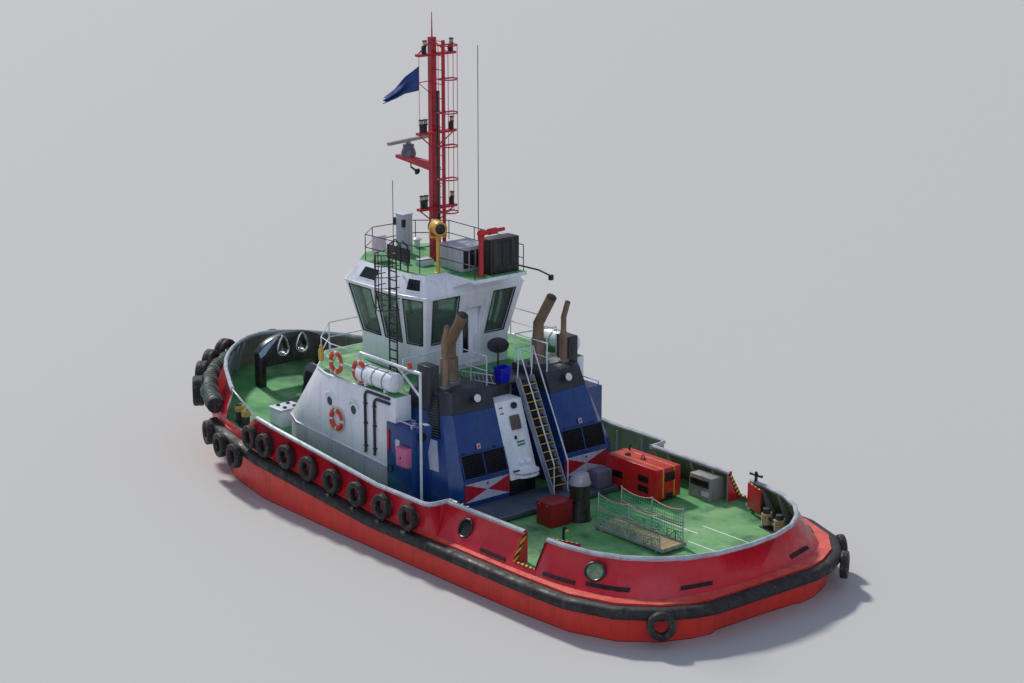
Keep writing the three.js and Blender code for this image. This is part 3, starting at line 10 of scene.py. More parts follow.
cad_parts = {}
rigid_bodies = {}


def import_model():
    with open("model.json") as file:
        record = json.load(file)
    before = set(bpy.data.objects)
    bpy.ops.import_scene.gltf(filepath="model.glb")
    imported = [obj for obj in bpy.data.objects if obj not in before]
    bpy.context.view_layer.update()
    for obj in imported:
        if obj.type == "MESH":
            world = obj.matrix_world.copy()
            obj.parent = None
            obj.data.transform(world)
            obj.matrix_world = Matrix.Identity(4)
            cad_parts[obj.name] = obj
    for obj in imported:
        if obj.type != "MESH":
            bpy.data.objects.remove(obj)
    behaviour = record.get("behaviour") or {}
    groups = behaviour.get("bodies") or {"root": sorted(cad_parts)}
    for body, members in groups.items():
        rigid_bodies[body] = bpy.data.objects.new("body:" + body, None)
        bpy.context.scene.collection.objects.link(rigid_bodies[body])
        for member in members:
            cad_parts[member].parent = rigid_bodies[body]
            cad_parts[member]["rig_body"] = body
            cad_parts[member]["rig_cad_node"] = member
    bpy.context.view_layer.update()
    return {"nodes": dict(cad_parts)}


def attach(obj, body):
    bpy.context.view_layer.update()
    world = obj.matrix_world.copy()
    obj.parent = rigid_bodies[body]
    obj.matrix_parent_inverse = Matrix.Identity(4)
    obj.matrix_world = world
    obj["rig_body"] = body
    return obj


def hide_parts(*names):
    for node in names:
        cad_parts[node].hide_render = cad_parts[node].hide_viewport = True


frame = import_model()
nodes = frame["nodes"]
UP = Vector((0.0, 0.0, 1.0))


# Camera, light and floor. The camera looks down on the boat from high off its
# port quarter. A lamp like a hazy sun stands ahead of the bow, a weak blue one
# and a pale sky fill the shaded sides, and a plain floor lies at the waterline.

bpy.ops.object.select_all(action="DESELECT")
bpy.ops.object.camera_add(location=(-55.0, 44.4, 24.4))
camera = bpy.context.object
camera.data.lens = 79.1
camera.data.sensor_width = 36.0
camera.data.clip_end = 600.0
camera.rotation_mode = "QUATERNION"
camera.rotation_quaternion = Vector((0.7401, -0.6211, -0.2571)).to_track_quat("-Z", "Y")
bpy.context.scene.camera = camera

# columns: place, way it shines, strength, spread in degrees, colour
LAMPS = [((30.0, 3.0, 28.0), (-0.72, 0.12, -0.69), 3.0, 6.0, (1.0, 0.97, 0.92)),
         ((-30.0, 30.0, 30.0), (0.70, -0.55, -0.45), 0.55, 60.0, (0.66, 0.76, 1.0))]
for place, way, strength, spread, colour in LAMPS:
    bpy.ops.object.light_add(type="SUN", location=place)
    lamp = bpy.context.object
    lamp.data.energy = strength
    lamp.data.angle = math.radians(spread)
    lamp.data.color = colour
    lamp.rotation_mode = "QUATERNION"
    lamp.rotation_quaternion = Vector(way).to_track_quat("-Z", "Y")

sky = bpy.data.worlds.new("pale_sky")
sky.use_nodes = True
sky.node_tree.nodes["Background"].inputs["Color"].default_value = (0.62, 0.74, 1.0, 1.0)
sky.node_tree.nodes["Background"].inputs["Strength"].default_value = 0.42
bpy.context.scene.world = sky
bpy.context.scene.view_settings.view_transform = "Standard"

bpy.ops.mesh.primitive_plane_add(size=400.0, location=(0.0, 0.0, 0.0))
floor = bpy.context.object
floor.name = "floor"
floor_finish = bpy.data.materials.new("floor_finish")
floor_finish.use_nodes = True
floor_shader = floor_finish.node_tree.nodes["Principled BSDF"]
floor_shader.inputs["Base Color"].default_value = (0.50, 0.49, 0.47, 1.0)
floor_shader.inputs["Roughness"].default_value = 0.85
floor.data.materials.append(floor_finish)


# Hull plating. Welded steel plate over frames, in glossy red topcoat above the
# water and rough antifouling below it. The sides are a brighter red than the
# bulwark, painted light for the glow bounced up from the water, and the ledge's
# upward faces a paler red, a painted highlight flecked with wear. Each solid is
# copied, its corners rounded and painted.


def linear(code):
    """A paint chart colour such as "a1b2c3" as the shader wants it."""
    parts = [int(code[i:i + 2], 16) / 255.0 for i in (0, 2, 4)]
    return tuple(p / 12.92 if p < 0.04045 else ((p + 0.055) / 1.055) ** 2.4 for p in parts) + (1.0,)


def shaded(name):
    """A new material, with its node tree and its shader."""
    finish = bpy.data.materials.new(name)
    finish.use_nodes = True
    return finish, finish.node_tree, finish.node_tree.nodes["Principled BSDF"]


def connect(tree, socket, value):
    """Feed a socket from a link, a colour or a number."""
    if isinstance(value, bpy.types.NodeSocket):
        tree.links.new(value, socket)
    else:
        socket.default_value = value


def mottle(tree, scale, stretch=(1.0, 1.0, 1.0), detail=5.0, start=0.40, end=0.62):
    """Soft patches, from 0 to 1, at so many to the metre, drawn out along an axis."""
    place = tree.nodes.new("ShaderNodeTexCoord")
    turn = tree.nodes.new("ShaderNodeMapping")
    turn.inputs["Scale"].default_value = stretch
    cloud = tree.nodes.new("ShaderNodeTexNoise")
    cloud.inputs["Scale"].default_value = scale
    cloud.inputs["Detail"].default_value = detail
    cloud.inputs["Roughness"].default_value = 0.6
    spread = tree.nodes.new("ShaderNodeMapRange")
    spread.inputs["From Min"].default_value = start
    spread.inputs["From Max"].default_value = end
    tree.links.new(place.outputs["Object"], turn.inputs["Vector"])
    tree.links.new(turn.outputs["Vector"], cloud.inputs["Vector"])
    tree.links.new(cloud.outputs["Fac"], spread.inputs["Value"])
    return spread.outputs["Result"]


def laid_over(tree, cover, under, over):
    """One colour over another where the cover is 1."""
    mix = tree.nodes.new("ShaderNodeMix")
    mix.data_type = "RGBA"
    connect(tree, mix.inputs["Factor"], cover)
    connect(tree, mix.inputs["A"], under)
    connect(tree, mix.inputs["B"], over)
    return mix.outputs["Result"]


def times(tree, one, two, kind="MULTIPLY"):
    """Two values multiplied, or put together by another kind of sum."""
    sum_node = tree.nodes.new("ShaderNodeMath")
    sum_node.operation = kind
    connect(tree, sum_node.inputs[0], one)
    connect(tree, sum_node.inputs[1], two)
    return sum_node.outputs["Value"]


def paint(name, fresh, faded, stain, wear=0.35, patch=0.5, run=0.4, gloss=0.35, bump=0.25, metal=0.0,
          grain=14.0):
    """Brushed or sprayed paint: faded in patches, stained in upright runs, chipped in specks."""
    fresh, faded, stain = linear(fresh), linear(faded), linear(stain)
    finish, tree, shader = shaded(name)
    colour = laid_over(tree, times(tree, mottle(tree, patch), 0.75), fresh, faded)
    runs = mottle(tree, 2.6, stretch=(2.2, 2.2, 0.22), start=0.50, end=0.74)
    colour = laid_over(tree, times(tree, runs, run), colour, stain)
    specks = mottle(tree, grain, detail=8.0, start=0.60, end=0.68)
    colour = laid_over(tree, times(tree, specks, wear), colour, stain)
    tree.links.new(colour, shader.inputs["Base Color"])
    worn = mottle(tree, 3.1, detail=7.0, start=0.35, end=0.75)
    range_of = tree.nodes.new("ShaderNodeMapRange")
    range_of.inputs["To Min"].default_value = gloss * 0.8
    range_of.inputs["To Max"].default_value = min(1.0, gloss * 1.5 + 0.05)
    tree.links.new(worn, range_of.inputs["Value"])
    tree.links.new(range_of.outputs["Result"], shader.inputs["Roughness"])
    shader.inputs["Metallic"].default_value = metal
    relief = tree.nodes.new("ShaderNodeBump")
    relief.inputs["Strength"].default_value = bump
    relief.inputs["Distance"].default_value = 0.01
    tree.links.new(mottle(tree, grain * 0.5, detail=8.0, start=0.2, end=0.8), relief.inputs["Height"])
    tree.links.new(relief.outputs["Normal"], shader.inputs["Normal"])
    return finish


def alone(piece):
    """Select one piece and nothing else."""
    bpy.ops.object.select_all(action="DESELECT")
    piece.select_set(True)
    bpy.context.view_layer.objects.active = piece


def welded(node, name, coats, edge=0.0, which=None, edge_coat=None):
    """A clean copy of a solid that stands for it, rounded at its corners and painted."""
    source = nodes[node]
    source.hide_viewport = False
    alone(source)
    bpy.ops.object.duplicate()
    piece = bpy.context.object
    piece.name = name
    del piece["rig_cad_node"]
    piece.data.materials.clear()
    bpy.ops.object.mode_set(mode="EDIT")
    bpy.ops.mesh.select_all(action="SELECT")
    bpy.ops.mesh.remove_doubles(threshold=0.0006)
    bpy.ops.mesh.dissolve_limited(angle_limit=math.radians(0.6))
    bpy.ops.object.mode_set(mode="OBJECT")
    for finish in coats:
        piece.data.materials.append(finish)
    if which:
        for face in piece.data.polygons:
            face.material_index = which(face.center, face.normal)
    if edge:
        rounding = piece.modifiers.new("rounding", "BEVEL")
        rounding.width = edge
        rounding.segments = 2
        rounding.limit_method = "ANGLE"
        rounding.angle_limit = math.radians(35.0)
        if edge_coat is not None:
            rounding.material = edge_coat
        bpy.ops.object.modifier_apply(modifier="rounding")
    bpy.ops.object.shade_smooth_by_angle(angle=math.radians(32.0))
    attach(piece, source["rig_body"])
    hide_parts(node)
    return piece


hull_red = paint("hull_red_paint", "cc1a2c", "bc2836", "561418", run=0.3, gloss=0.28)
# The ledge's upward faces get a paler red, a painted highlight where the sun falls on them, with darker
# specks of wear.
ledge_highlight_red = paint("ledge_highlight_red", "dc6656", "d23a32", "7c3a34", wear=0.6, patch=2.4, run=0.5,
                    gloss=0.5)
# The hull's sides get a brighter red than the bulwark's, painted light standing in for light bounced up
# from the water.
water_bounce_red = paint("water_bounce_red_paint", "e63a2e", "d8382c", "8a2c1c", wear=0.4, patch=1.2, run=0.35,
                    gloss=0.4)
antifouling = paint("antifouling", "7c2a22", "6a3a30", "2c2620", wear=0.7, gloss=0.8)


def hull_coat(centre, normal):
    """Antifouling below the cut, paler red with a painted highlight on the ledge's top and red brightened
    by painted water bounce elsewhere.
    """
    if centre.z < 0.03:
        return 2
    return 1 if normal.z > 0.5 and centre.z > 0.9 else 0


hull_shell = welded("hull", "hull_shell", [water_bounce_red, ledge_highlight_red, antifouling])
bpy.ops.object.mode_set(mode="EDIT")
bpy.ops.mesh.select_all(action="SELECT")
bpy.ops.mesh.bisect(plane_co=(0.0, 0.0, 0.03), plane_no=(0.0, 0.0, 1.0))
bpy.ops.object.mode_set(mode="OBJECT")
for face in hull_shell.data.polygons:
    face.material_index = hull_coat(face.center, face.normal)
welded("skeg", "skeg_plate", [antifouling], edge=0.03)


# Main deck. Flat steel plate in green anti-slip paint that wears to pale
# patches along the walkways and shines dark where it is wet. White lines mark
# the working area aft, and two-post mooring bitts in black stand on it.


def near(tree, value, middle, reach):
    """1 where a value is within reach of the middle, else 0."""
    test = tree.nodes.new("ShaderNodeMath")
    test.operation = "COMPARE"
    test.inputs[1].default_value = middle
    test.inputs[2].default_value = reach
    tree.links.new(value, test.inputs[0])
    return test.outputs["Value"]


def deck_paint(name, lines):
    """Gritty green deck paint with worn walkways, wet patches and painted lines."""
    finish, tree, shader = shaded(name)
    worn = mottle(tree, 0.55, start=0.42, end=0.66, detail=7.0)
    colour = laid_over(tree, worn, linear("3f8f4c"), linear("7fa872"))
    damp = mottle(tree, 0.8, start=0.50, end=0.68)
    colour = laid_over(tree, times(tree, damp, 0.75), colour, linear("174f30"))
    specks = mottle(tree, 22.0, detail=8.0, start=0.6, end=0.66)
    colour = laid_over(tree, times(tree, specks, 0.5), colour, linear("93b894"))
    place = tree.nodes.new("ShaderNodeTexCoord")
    axes = tree.nodes.new("ShaderNodeSeparateXYZ")
    tree.links.new(place.outputs["Object"], axes.inputs["Vector"])
    for axis, centre, half, across, low, high in lines:
        mark = times(tree, near(tree, axes.outputs[axis], centre, half),
                     near(tree, axes.outputs[across], (low + high) / 2.0, (high - low) / 2.0))
        broken = times(tree, mark, mottle(tree, 4.0, start=0.30, end=0.42))
        colour = laid_over(tree, broken, colour, linear("dfe6dc"))
    tree.links.new(colour, shader.inputs["Base Color"])
    wet = tree.nodes.new("ShaderNodeMapRange")
    wet.inputs["To Min"].default_value = 0.75
    wet.inputs["To Max"].default_value = 0.22
    tree.links.new(mottle(tree, 0.7, start=0.56, end=0.70), wet.inputs["Value"])
    tree.links.new(wet.outputs["Result"], shader.inputs["Roughness"])
    grit = tree.nodes.new("ShaderNodeBump")
    grit.inputs["Strength"].default_value = 0.5
    grit.inputs["Distance"].default_value = 0.004
    tree.links.new(mottle(tree, 60.0, detail=4.0, start=0.3, end=0.7), grit.inputs["Height"])
    tree.links.new(grit.outputs["Normal"], shader.inputs["Normal"])
    return finish


# columns: axis across the line, its place, half width, axis along it, from, to
DECK_LINES = [("Y", -2.0, 0.02, "X", -11.0, -8.8), ("Y", -0.7, 0.02, "X", -11.3, -9.5),
              ("Y", -1.4, 0.02, "X", -9.2, -6.9)]
deck_green = deck_paint("deck_green_paint", DECK_LINES)
bitt_black = paint("bitt_black_paint", "1b1b1e", "2c2b2b", "6e5a44", wear=0.7, patch=3.0, gloss=0.42)
worn_steel = paint("worn_steel", "6f6a62", "8b857b", "5a3a24", wear=0.5, patch=5.0, gloss=0.4,
                   metal=0.6)


def deck_level(x):
    """Height of the deck, which rises forward."""
    return 1.2 + 0.07 * max(0.0, x + 1.5)


def deck_coat(centre, normal):
    """Black on the bitts, which stand above the plate."""
    return 1 if centre.z > deck_level(centre.x) + 0.01 else 0


welded("main_deck", "deck_and_bitts", [deck_green, bitt_black], edge=0.012,
       which=deck_coat)


# Bulwarks. Steel walls with flat-bar stays inside, red outside and warm grey
# inside, the grey made lighter as painted light bounced from the water onto the
# shaded inner faces, and capped by a pipe rail whose pale paint is rubbed by
# ropes. Freeing slots near the deck let water out, and round lips guard the rope holes.

# This grey is lighter than the paint itself, painted light standing in for light bounced from the water
# onto the shaded inner faces.
bulwark_grey = paint("bulwark_grey_paint", "8a867d", "9a948a", "4a3f34", wear=0.5, run=0.6, gloss=0.5)
rail_pale = paint("rail_pale_paint", "a3a8ae", "c3c7cb", "5f564e", wear=0.7, patch=2.2, run=0.3,
                  gloss=0.38)


def wall_half(x):
    """Half breadth of the hull at the deck edge."""
    if x > 4.0:
        run = min(1.0, (x - 4.0) / 8.9)
        return 5.0 * (1.0 - run ** 2.3) ** 0.6
    aft = max(0.0, min(1.0, (-9.0 - x) / 4.3))
    return 5.0 + (1.5 - 5.0) * (1.0 - math.sqrt(1.0 - aft ** 2.6 * 0.98))


def slope_at(x, step=0.05):
    """How much the half breadth grows for each metre forward."""
    return (wall_half(x + step) - wall_half(x - step)) / (2.0 * step)


def rail_level(x):
    """Height of the bulwark's rail, which rises forward."""
    return 2.15 + 0.09 * max(0.0, x + 1.5)


def bulwark_coat(centre, normal):
    """Rail paint at the top, red on what faces out of the boat and grey on the rest."""
    if centre.z > rail_level(centre.x) - 0.09:
        return 2
    outward = normal.x * centre.x * 0.25 + normal.y * centre.y
    if centre.x < -11.0:
        outward = normal.x * (centre.x + 9.0) + normal.y * centre.y
    if centre.x > 9.0:
        outward = normal.x * (centre.x - 7.0) + normal.y * centre.y
    return 0 if outward > 0.0 else 1


for end in ("aft", "fore"):
    welded(f"{end}_bulwark", f"{end}_bulwark_plate", [hull_red, bulwark_grey, rail_pale],
           which=bulwark_coat)


# Side fender and tyres. A rubber D-section runs round the ledge, with truck
# tyres lashed above it and over it. Moulded black rubber, chalky grey where it
# is rubbed.


def rubber(name, chalk=0.5, pale="6e665c"):
    """Black rubber gone chalky in patches, with small cuts."""
    return paint(name, "17161a", "2a2827", pale, wear=chalk, patch=1.8, run=0.25, gloss=0.6, bump=0.5,
                 grain=9.0)


fender_rubber = rubber("fender_rubber", 0.35)
tyre_rubber = rubber("tyre_rubber", 0.5, "8a7a62")
chalky_rubber = paint("chalky_rubber", "77726c", "8d8880", "3a3633", wear=0.7, patch=2.5, gloss=0.6)


def made_of(name, corners, edges, faces):
    """A new piece from corners, edges and faces, left selected."""
    mesh = bpy.data.meshes.new(name)
    mesh.from_pydata(corners, edges, faces)
    piece = bpy.data.objects.new(name, mesh)
    bpy.context.collection.objects.link(piece)
    alone(piece)
    return piece


def turned(name, profile, steps, coat):
    """A ring spun about the upright axis from a closed outline of radius and height."""
    count = len(profile)
    outline = [(i, (i + 1) % count) for i in range(count)]
    piece = made_of(name, [(r, 0.0, z) for r, z in profile], outline, [])
    bpy.ops.object.mode_set(mode="EDIT")
    bpy.ops.mesh.select_all(action="SELECT")
    bpy.ops.mesh.spin(steps=steps, angle=math.tau, center=(0.0, 0.0, 0.0), axis=(0.0, 0.0, 1.0))
    bpy.ops.mesh.select_all(action="SELECT")
    bpy.ops.mesh.remove_doubles(threshold=0.0004)
    bpy.ops.mesh.normals_make_consistent(inside=False)
    bpy.ops.object.mode_set(mode="OBJECT")
    piece.data.materials.append(coat)
    return piece


def laid(piece, place, along, up):
    """Turn a piece made about the origin so that its X runs along, its Y up and its Z outwards."""
    along = Vector(along).normalized()
    out = along.cross(Vector(up)).normalized()
    turn = Matrix((along, out.cross(along), out)).transposed().to_4x4()
    piece.data.transform(Matrix.Translation(Vector(place)) @ turn)
    return piece


def stood(piece, place):
    """Move a piece made about the origin to its place, still upright."""
    piece.data.transform(Matrix.Translation(Vector(place)))
    return piece


def another(piece):
    """A copy of a piece with its own mesh."""
    alone(piece)
    bpy.ops.object.duplicate()
    return bpy.context.object


def joined(parts):
    """Several parts as one piece."""
    bpy.ops.object.select_all(action="DESELECT")
    for part in parts:
        part.select_set(True)
    bpy.context.view_layer.objects.active = parts[0]
    bpy.ops.object.join()
    return bpy.context.object


def fitted(parts, name, body="boat", angle=35.0):
    """Join the parts of a piece, smooth it and tell the frame what carries it."""
    piece = joined(parts)
    piece.name = name
    alone(piece)
    bpy.ops.object.shade_smooth_by_angle(angle=math.radians(angle))
    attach(piece, body)
    return piece


def swept(name, rings, coat):
    """A skin through rings of as many points each, capped at both ends."""
    many = len(rings[0])
    corners = [point for ring in rings for point in ring]
    last = (len(rings) - 1) * many
    faces = [(i + k, i + (k + 1) % many, i + many + (k + 1) % many, i + many + k)
             for i in range(0, last, many) for k in range(many)]
    faces.append(tuple(range(many))[::-1])
    faces.append(tuple(last + k for k in range(many)))
    piece = made_of(name, corners, [], faces)
    bpy.ops.object.mode_set(mode="EDIT")
    bpy.ops.mesh.select_all(action="SELECT")
    bpy.ops.mesh.normals_make_consistent(inside=False)
    bpy.ops.object.mode_set(mode="OBJECT")
    piece.data.materials.append(coat)
    return piece


def pipe(routes, radius, coat, round_steps=2):
    """Pipe, bar or rope that follows routes given by their points."""
    line = bpy.data.curves.new("pipe_run", "CURVE")
    line.dimensions = "3D"
    line.bevel_depth = radius
    line.bevel_resolution = round_steps
    line.use_fill_caps = True
    for route in routes:
        spline = line.splines.new("POLY")
        spline.points.add(len(route) - 1)
        for point, place in zip(spline.points, route):
            point.co = (place[0], place[1], place[2], 1.0)
    piece = bpy.data.objects.new("pipe_run", line)
    bpy.context.collection.objects.link(piece)
    alone(piece)
    bpy.ops.object.convert(target="MESH")
    piece = bpy.context.object
    piece.data.materials.append(coat)
    return piece


def eased(points, steps=8):
    """A smooth route through points."""
    route = []
    for i in range(len(points) - 1):
        a, b = Vector(points[i]), Vector(points[i + 1])
        before = Vector(points[max(0, i - 1)])
        after = Vector(points[min(len(points) - 1, i + 2)])
        for k in range(steps):
            t = k / steps
            route.append(0.5 * ((2 * a) + (b - before) * t + (2 * before - 5 * a + 4 * b - after) * t * t
                                + (3 * a - before - 3 * b + after) * t ** 3))
    route.append(Vector(points[-1]))
    return route


def out_of(path):
    """The way outwards from the middle of the boat, and the mitre, at each point of a plan path."""
    result = []
    for i, (x, y) in enumerate(path):
        before = path[max(0, i - 1)]
        after = path[min(len(path) - 1, i + 1)]
        first = Vector((x - before[0], y - before[1])) if i else Vector((after[0] - x, after[1] - y))
        second = Vector((after[0] - x, after[1] - y)) if i < len(path) - 1 else first
        first.normalize()
        second.normalize()
        way = Vector((first.y + second.y, -first.x - second.x)).normalized()
        if way.x * x + way.y * y < 0.0:
            way.negate()
        spread = abs(way.dot(Vector((first.y, -first.x))))
        result.append((way, 1.0 / max(0.5, spread)))
    return result


FENDER_XS = [8.7, 7.5, 5.0, 1.0, -1.5, -4.0, -6.0, -8.5, -10.4, -11.8, -12.7, -13.15, -13.3]
# columns: distance out from the hull, drop below the fender's top
FENDER_SECTION = [(0.006, 0.0), (0.19, 0.0), (0.265, -0.025), (0.315, -0.08), (0.33, -0.14),
                  (0.33, -0.22), (0.315, -0.28), (0.265, -0.335), (0.19, -0.36), (0.006, -0.36)]
port_side = [(x, wall_half(x)) for x in FENDER_XS]
fender_path = port_side + [(x, -y) for x, y in reversed(port_side)]
fender_rings = []
for (x, y), (way, mitre) in zip(fender_path, out_of(fender_path)):
    top = deck_level(x) - 0.06
    fender_rings.append([(x + way.x * out * mitre, y + way.y * out * mitre, top + drop)
                         for out, drop in FENDER_SECTION])
side_parts = [swept("side_fender_run", fender_rings, fender_rubber)]


def tyre(radius, hole, width):
    """A worn truck tyre about the Z axis, with grooves and blocks in its tread."""
    wall, half = radius - hole, width / 2.0
    side = [(hole, half * 0.55), (hole + wall * 0.06, half * 0.78), (hole + wall * 0.22, half * 0.86),
            (hole + wall * 0.34, half * 0.97), (hole + wall * 0.62, half),
            (hole + wall * 0.84, half * 0.93), (hole + wall * 0.96, half * 0.78)]
    tread = [(radius, half * 0.62), (radius, half * 0.22), (radius - 0.014, half * 0.18),
             (radius - 0.014, half * 0.08), (radius, half * 0.05)]
    upper = side + tread
    piece = turned("truck_tyre", upper + [(r, -z) for r, z in reversed(upper)], 48, tyre_rubber)
    for corner in piece.data.vertices:
        spot = corner.co
        if math.hypot(spot.x, spot.y) > radius - 0.004 and abs(spot.z) > half * 0.2:
            if round((math.atan2(spot.y, spot.x) + math.pi) / math.tau * 48) % 3 == 0:
                spot.x *= 1.0 - 0.014 / radius
                spot.y *= 1.0 - 0.014 / radius
    return piece


def lean_in(x):
    """How far the bulwark leans inboard at the rail, forward."""
    t = max(0.0, min(1.0, (x - 5.5) / 4.0))
    return 0.52 * t * t * (3.0 - 2.0 * t)


SIDE_TYRE_XS = [5.39, 4.48, 3.24, 1.99, 0.67, -0.64, -1.97, -3.31]
side_tyre = tyre(0.40, 0.205, 0.24)
lashings = []
for x in SIDE_TYRE_XS:
    lean = lean_in(x) * 0.4 / (rail_level(x) - deck_level(x))
    out = wall_half(x) + 0.15 - lean * 0.3
    for side in (1, -1):
        along = (-1.0 * side, -slope_at(x, 0.3), 0.0)
        side_parts.append(laid(another(side_tyre), (x, out * side, deck_level(x) + 0.4), along, UP))
        lashings.append([(x, (out + 0.09) * side, deck_level(x) + 0.17),
                         (x, (out - 0.06) * side, deck_level(x) - 0.03),
                         (x, (out + 0.1) * side, deck_level(x) - 0.12)])
bpy.data.objects.remove(side_tyre)


def hung(x, side, out, z, radius, width):
    """A tyre roped flat against a fender, its middle a distance out from the deck edge."""
    way = Vector((-slope_at(x, 0.02), 1.0, 0.0)).normalized()
    wheel = tyre(radius, radius * 0.5, width)
    place = (x + way.x * out, (wall_half(x) + way.y * out) * side, z)
    facing = Vector((way.x, way.y * side, 0.0))
    return laid(wheel, place, UP.cross(facing), UP)


# columns: x, side, distance out, height, radius, width
QUARTER_TYRES = [(-12.7, -1, 0.405, 0.72, 0.42, 0.23), (-11.8, -1, 0.405, 0.74, 0.42, 0.23),
                 (-12.7, 1, 0.405, 0.72, 0.42, 0.23)]
QUARTER_TYRES += [(x, side, 0.42, deck_level(x) - 0.42, 0.42, 0.26)
                  for x in (6.0, 7.1, 8.3) for side in (1, -1)]
side_parts += [hung(*row) for row in QUARTER_TYRES]
side_parts.append(pipe(lashings, 0.016, chalky_rubber))
side_fender = fitted(side_parts, "side_fender_rubber")
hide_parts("side_fender")


# Bow fender. A thick rubber cylinder in lengths end to end, bound to the
# bulwark with rope, and big black tyres hung over it round the bow.

bow_rubber = rubber("bow_fender_rubber", 0.6, "8d8272")
rope_green = paint("rope_green", "6fa58c", "8fb7a0", "3d5a4a", wear=0.6, patch=6.0, gloss=0.8,
                   grain=40.0)
FORE_XS = [8.5, 9.3, 10.1, 10.9, 11.5, 12.0, 12.4, 12.7]
# height of the fender's middle above the deck
FENDER_RISE = 0.42


def lean_at_fender(x):
    """How far the bulwark has leaned inboard at the height of the fender."""
    return lean_in(x) * FENDER_RISE / (rail_level(x) - deck_level(x))


bow_side = []
for x in FORE_XS:
    way = Vector((slope_at(x), -1.0)).normalized()
    back = 0.025 + lean_at_fender(x)
    bow_side.append((x + way.x * back, wall_half(x) + way.y * back))
tip = 12.86 - lean_at_fender(12.86)
bow_path = bow_side + [(tip, 0.0)] + [(x, -y) for x, y in reversed(bow_side)]
fender_line = []
for (x, y), (way, mitre) in zip(bow_path, out_of(bow_path)):
    reach = 0.26 * mitre
    fender_line.append(Vector((x + way.x * reach, y + way.y * reach, deck_level(x) + FENDER_RISE)))
fender_line = eased(fender_line, 14)


def round_line(spot, run, t, reach):
    """A point round a level line that runs one way, by its angle and distance from the line."""
    side_way = run.cross(UP).normalized()
    return spot + side_way * math.cos(t) * reach + UP * math.sin(t) * reach


bow_rings, gone = [], 0.0
for i, spot in enumerate(fender_line):
    ahead = fender_line[min(i + 1, len(fender_line) - 1)]
    behind = fender_line[max(i - 1, 0)]
    run = (ahead - behind).normalized()
    gone += (spot - behind).length
    seam = abs((gone / 0.62) % 1.0 - 0.5) * 2.0
    girth = 0.268 + 0.027 * min(1.0, (1.0 - seam) * 6.0)
    bow_rings.append([round_line(spot, run, k * math.tau / 20, girth) for k in range(20)])
bow_parts = [swept("bow_fender_run", bow_rings, bow_rubber)]
# columns: x of each big tyre, its rise above the deck
BOW_TYRES = [(10.5, 0.20), (11.5, 0.30), (12.15, 0.40), (12.68, 0.48)]
bow_parts += [hung(x, side, 0.43, deck_level(x) + rise, 0.54, 0.40)
              for x, rise in BOW_TYRES for side in (1, -1)]
windings = []
for start in range(6, len(fender_line) - 14, 15):
    turn_of_rope = []
    for k in range(25):
        i = start + k // 5
        run = (fender_line[i + 1] - fender_line[i - 1]).normalized()
        spot = fender_line[i] + run * (k % 5) * 0.02
        turn_of_rope.append(round_line(spot, run, k / 24.0 * math.tau * 1.5, 0.31))
    windings.append(turn_of_rope)
bow_parts.append(pipe(windings, 0.017, rope_green, round_steps=1))
bow_fender = fitted(bow_parts, "bow_fender_rubber")
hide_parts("bow_fender")


# Bulwark fittings. Freeing slots cut near the deck, drawn as black plates of
# painted shade for the dark openings, round and oval rope holes with black cast
# lips, the forward one filled with the same painted shade, flat-bar stays welded
# inside, black ends beside each gateway, rubber wrapped round the port rail and
# a crossed mooring post.


def block(low, high, coat, round_off=0.008):
    """A plate or box between two corners, its edges rounded."""
    bpy.ops.object.select_all(action="DESELECT")
    bpy.ops.mesh.primitive_cube_add(size=1.0, location=[(a + b) / 2.0 for a, b in zip(low, high)])
    piece = bpy.context.object
    piece.scale = [b - a for a, b in zip(low, high)]
    bpy.ops.object.transform_apply(location=True, rotation=True, scale=True)
    bpy.ops.object.mode_set(mode="EDIT")
    bpy.ops.mesh.select_all(action="SELECT")
    bpy.ops.mesh.bevel(offset=min(round_off, min(b - a for a, b in zip(low, high)) * 0.3), segments=2,
                       affect="EDGES")
    bpy.ops.object.mode_set(mode="OBJECT")
    piece.data.materials.append(coat)
    return piece


def slab(corners, thick, coats, faces=None, coat_of=None):
    """A flat plate through its corners, with its thickness on both sides."""
    corners = [tuple(corner) for corner in corners]
    piece = made_of("plate", corners, [], faces or [tuple(range(len(corners)))])
    for finish in coats:
        piece.data.materials.append(finish)
    if coat_of:
        for face, index in zip(piece.data.polygons, coat_of):
            face.material_index = index
    wall = piece.modifiers.new("wall", "SOLIDIFY")
    wall.thickness = thick
    wall.offset = 0.0
    bpy.ops.object.modifier_apply(modifier="wall")
    return piece


# columns: foot x and half breadth, rail x and half breadth of the aft bulwark
AFT_LINE = [(-4.33, 4.80, -4.20, 4.29), (-6.0, 4.80, -6.0, 4.28), (-7.4, 4.79, -7.4, 4.26),
            (-8.25, 4.77, -8.25, 4.23), (-9.5, 4.68, -9.4, 4.13), (-10.5, 4.48, -10.35, 3.93),
            (-11.4, 4.16, -11.2, 3.50), (-12.1, 3.64, -11.85, 2.90), (-12.62, 2.85, -12.35, 2.13),
            (-12.93, 1.60, -12.65, 1.15), (-13.0, 0.0, -12.74, 0.0)]


def aft_skin(x, z, side=1):
    """A point on the outer face of the aft bulwark, by the x of its foot and its height."""
    for (ax, ay, bx, by), (cx, cy, dx, dy) in zip(AFT_LINE, AFT_LINE[1:]):
        if cx <= x <= ax:
            t = (ax - x) / (ax - cx)
            foot = Vector((x, (ay + (cy - ay) * t) * side, 1.2))
            rail = Vector((bx + (dx - bx) * t, (by + (dy - by) * t) * side, 2.15))
            return foot + (rail - foot) * ((z - 1.2) / 0.95)


slot_black = paint("slot_black", "0b0b0d", "17130f", "4a2018", wear=0.5, gloss=0.7)
lip_black = paint("lip_black_paint", "141416", "232225", "7b7468", wear=0.7, patch=4.0, gloss=0.35)
hole_green = paint("hole_green_paint", "5f8a5c", "a89c86", "2a3226", wear=0.4, patch=5.0, gloss=0.6)
fitting_parts = []
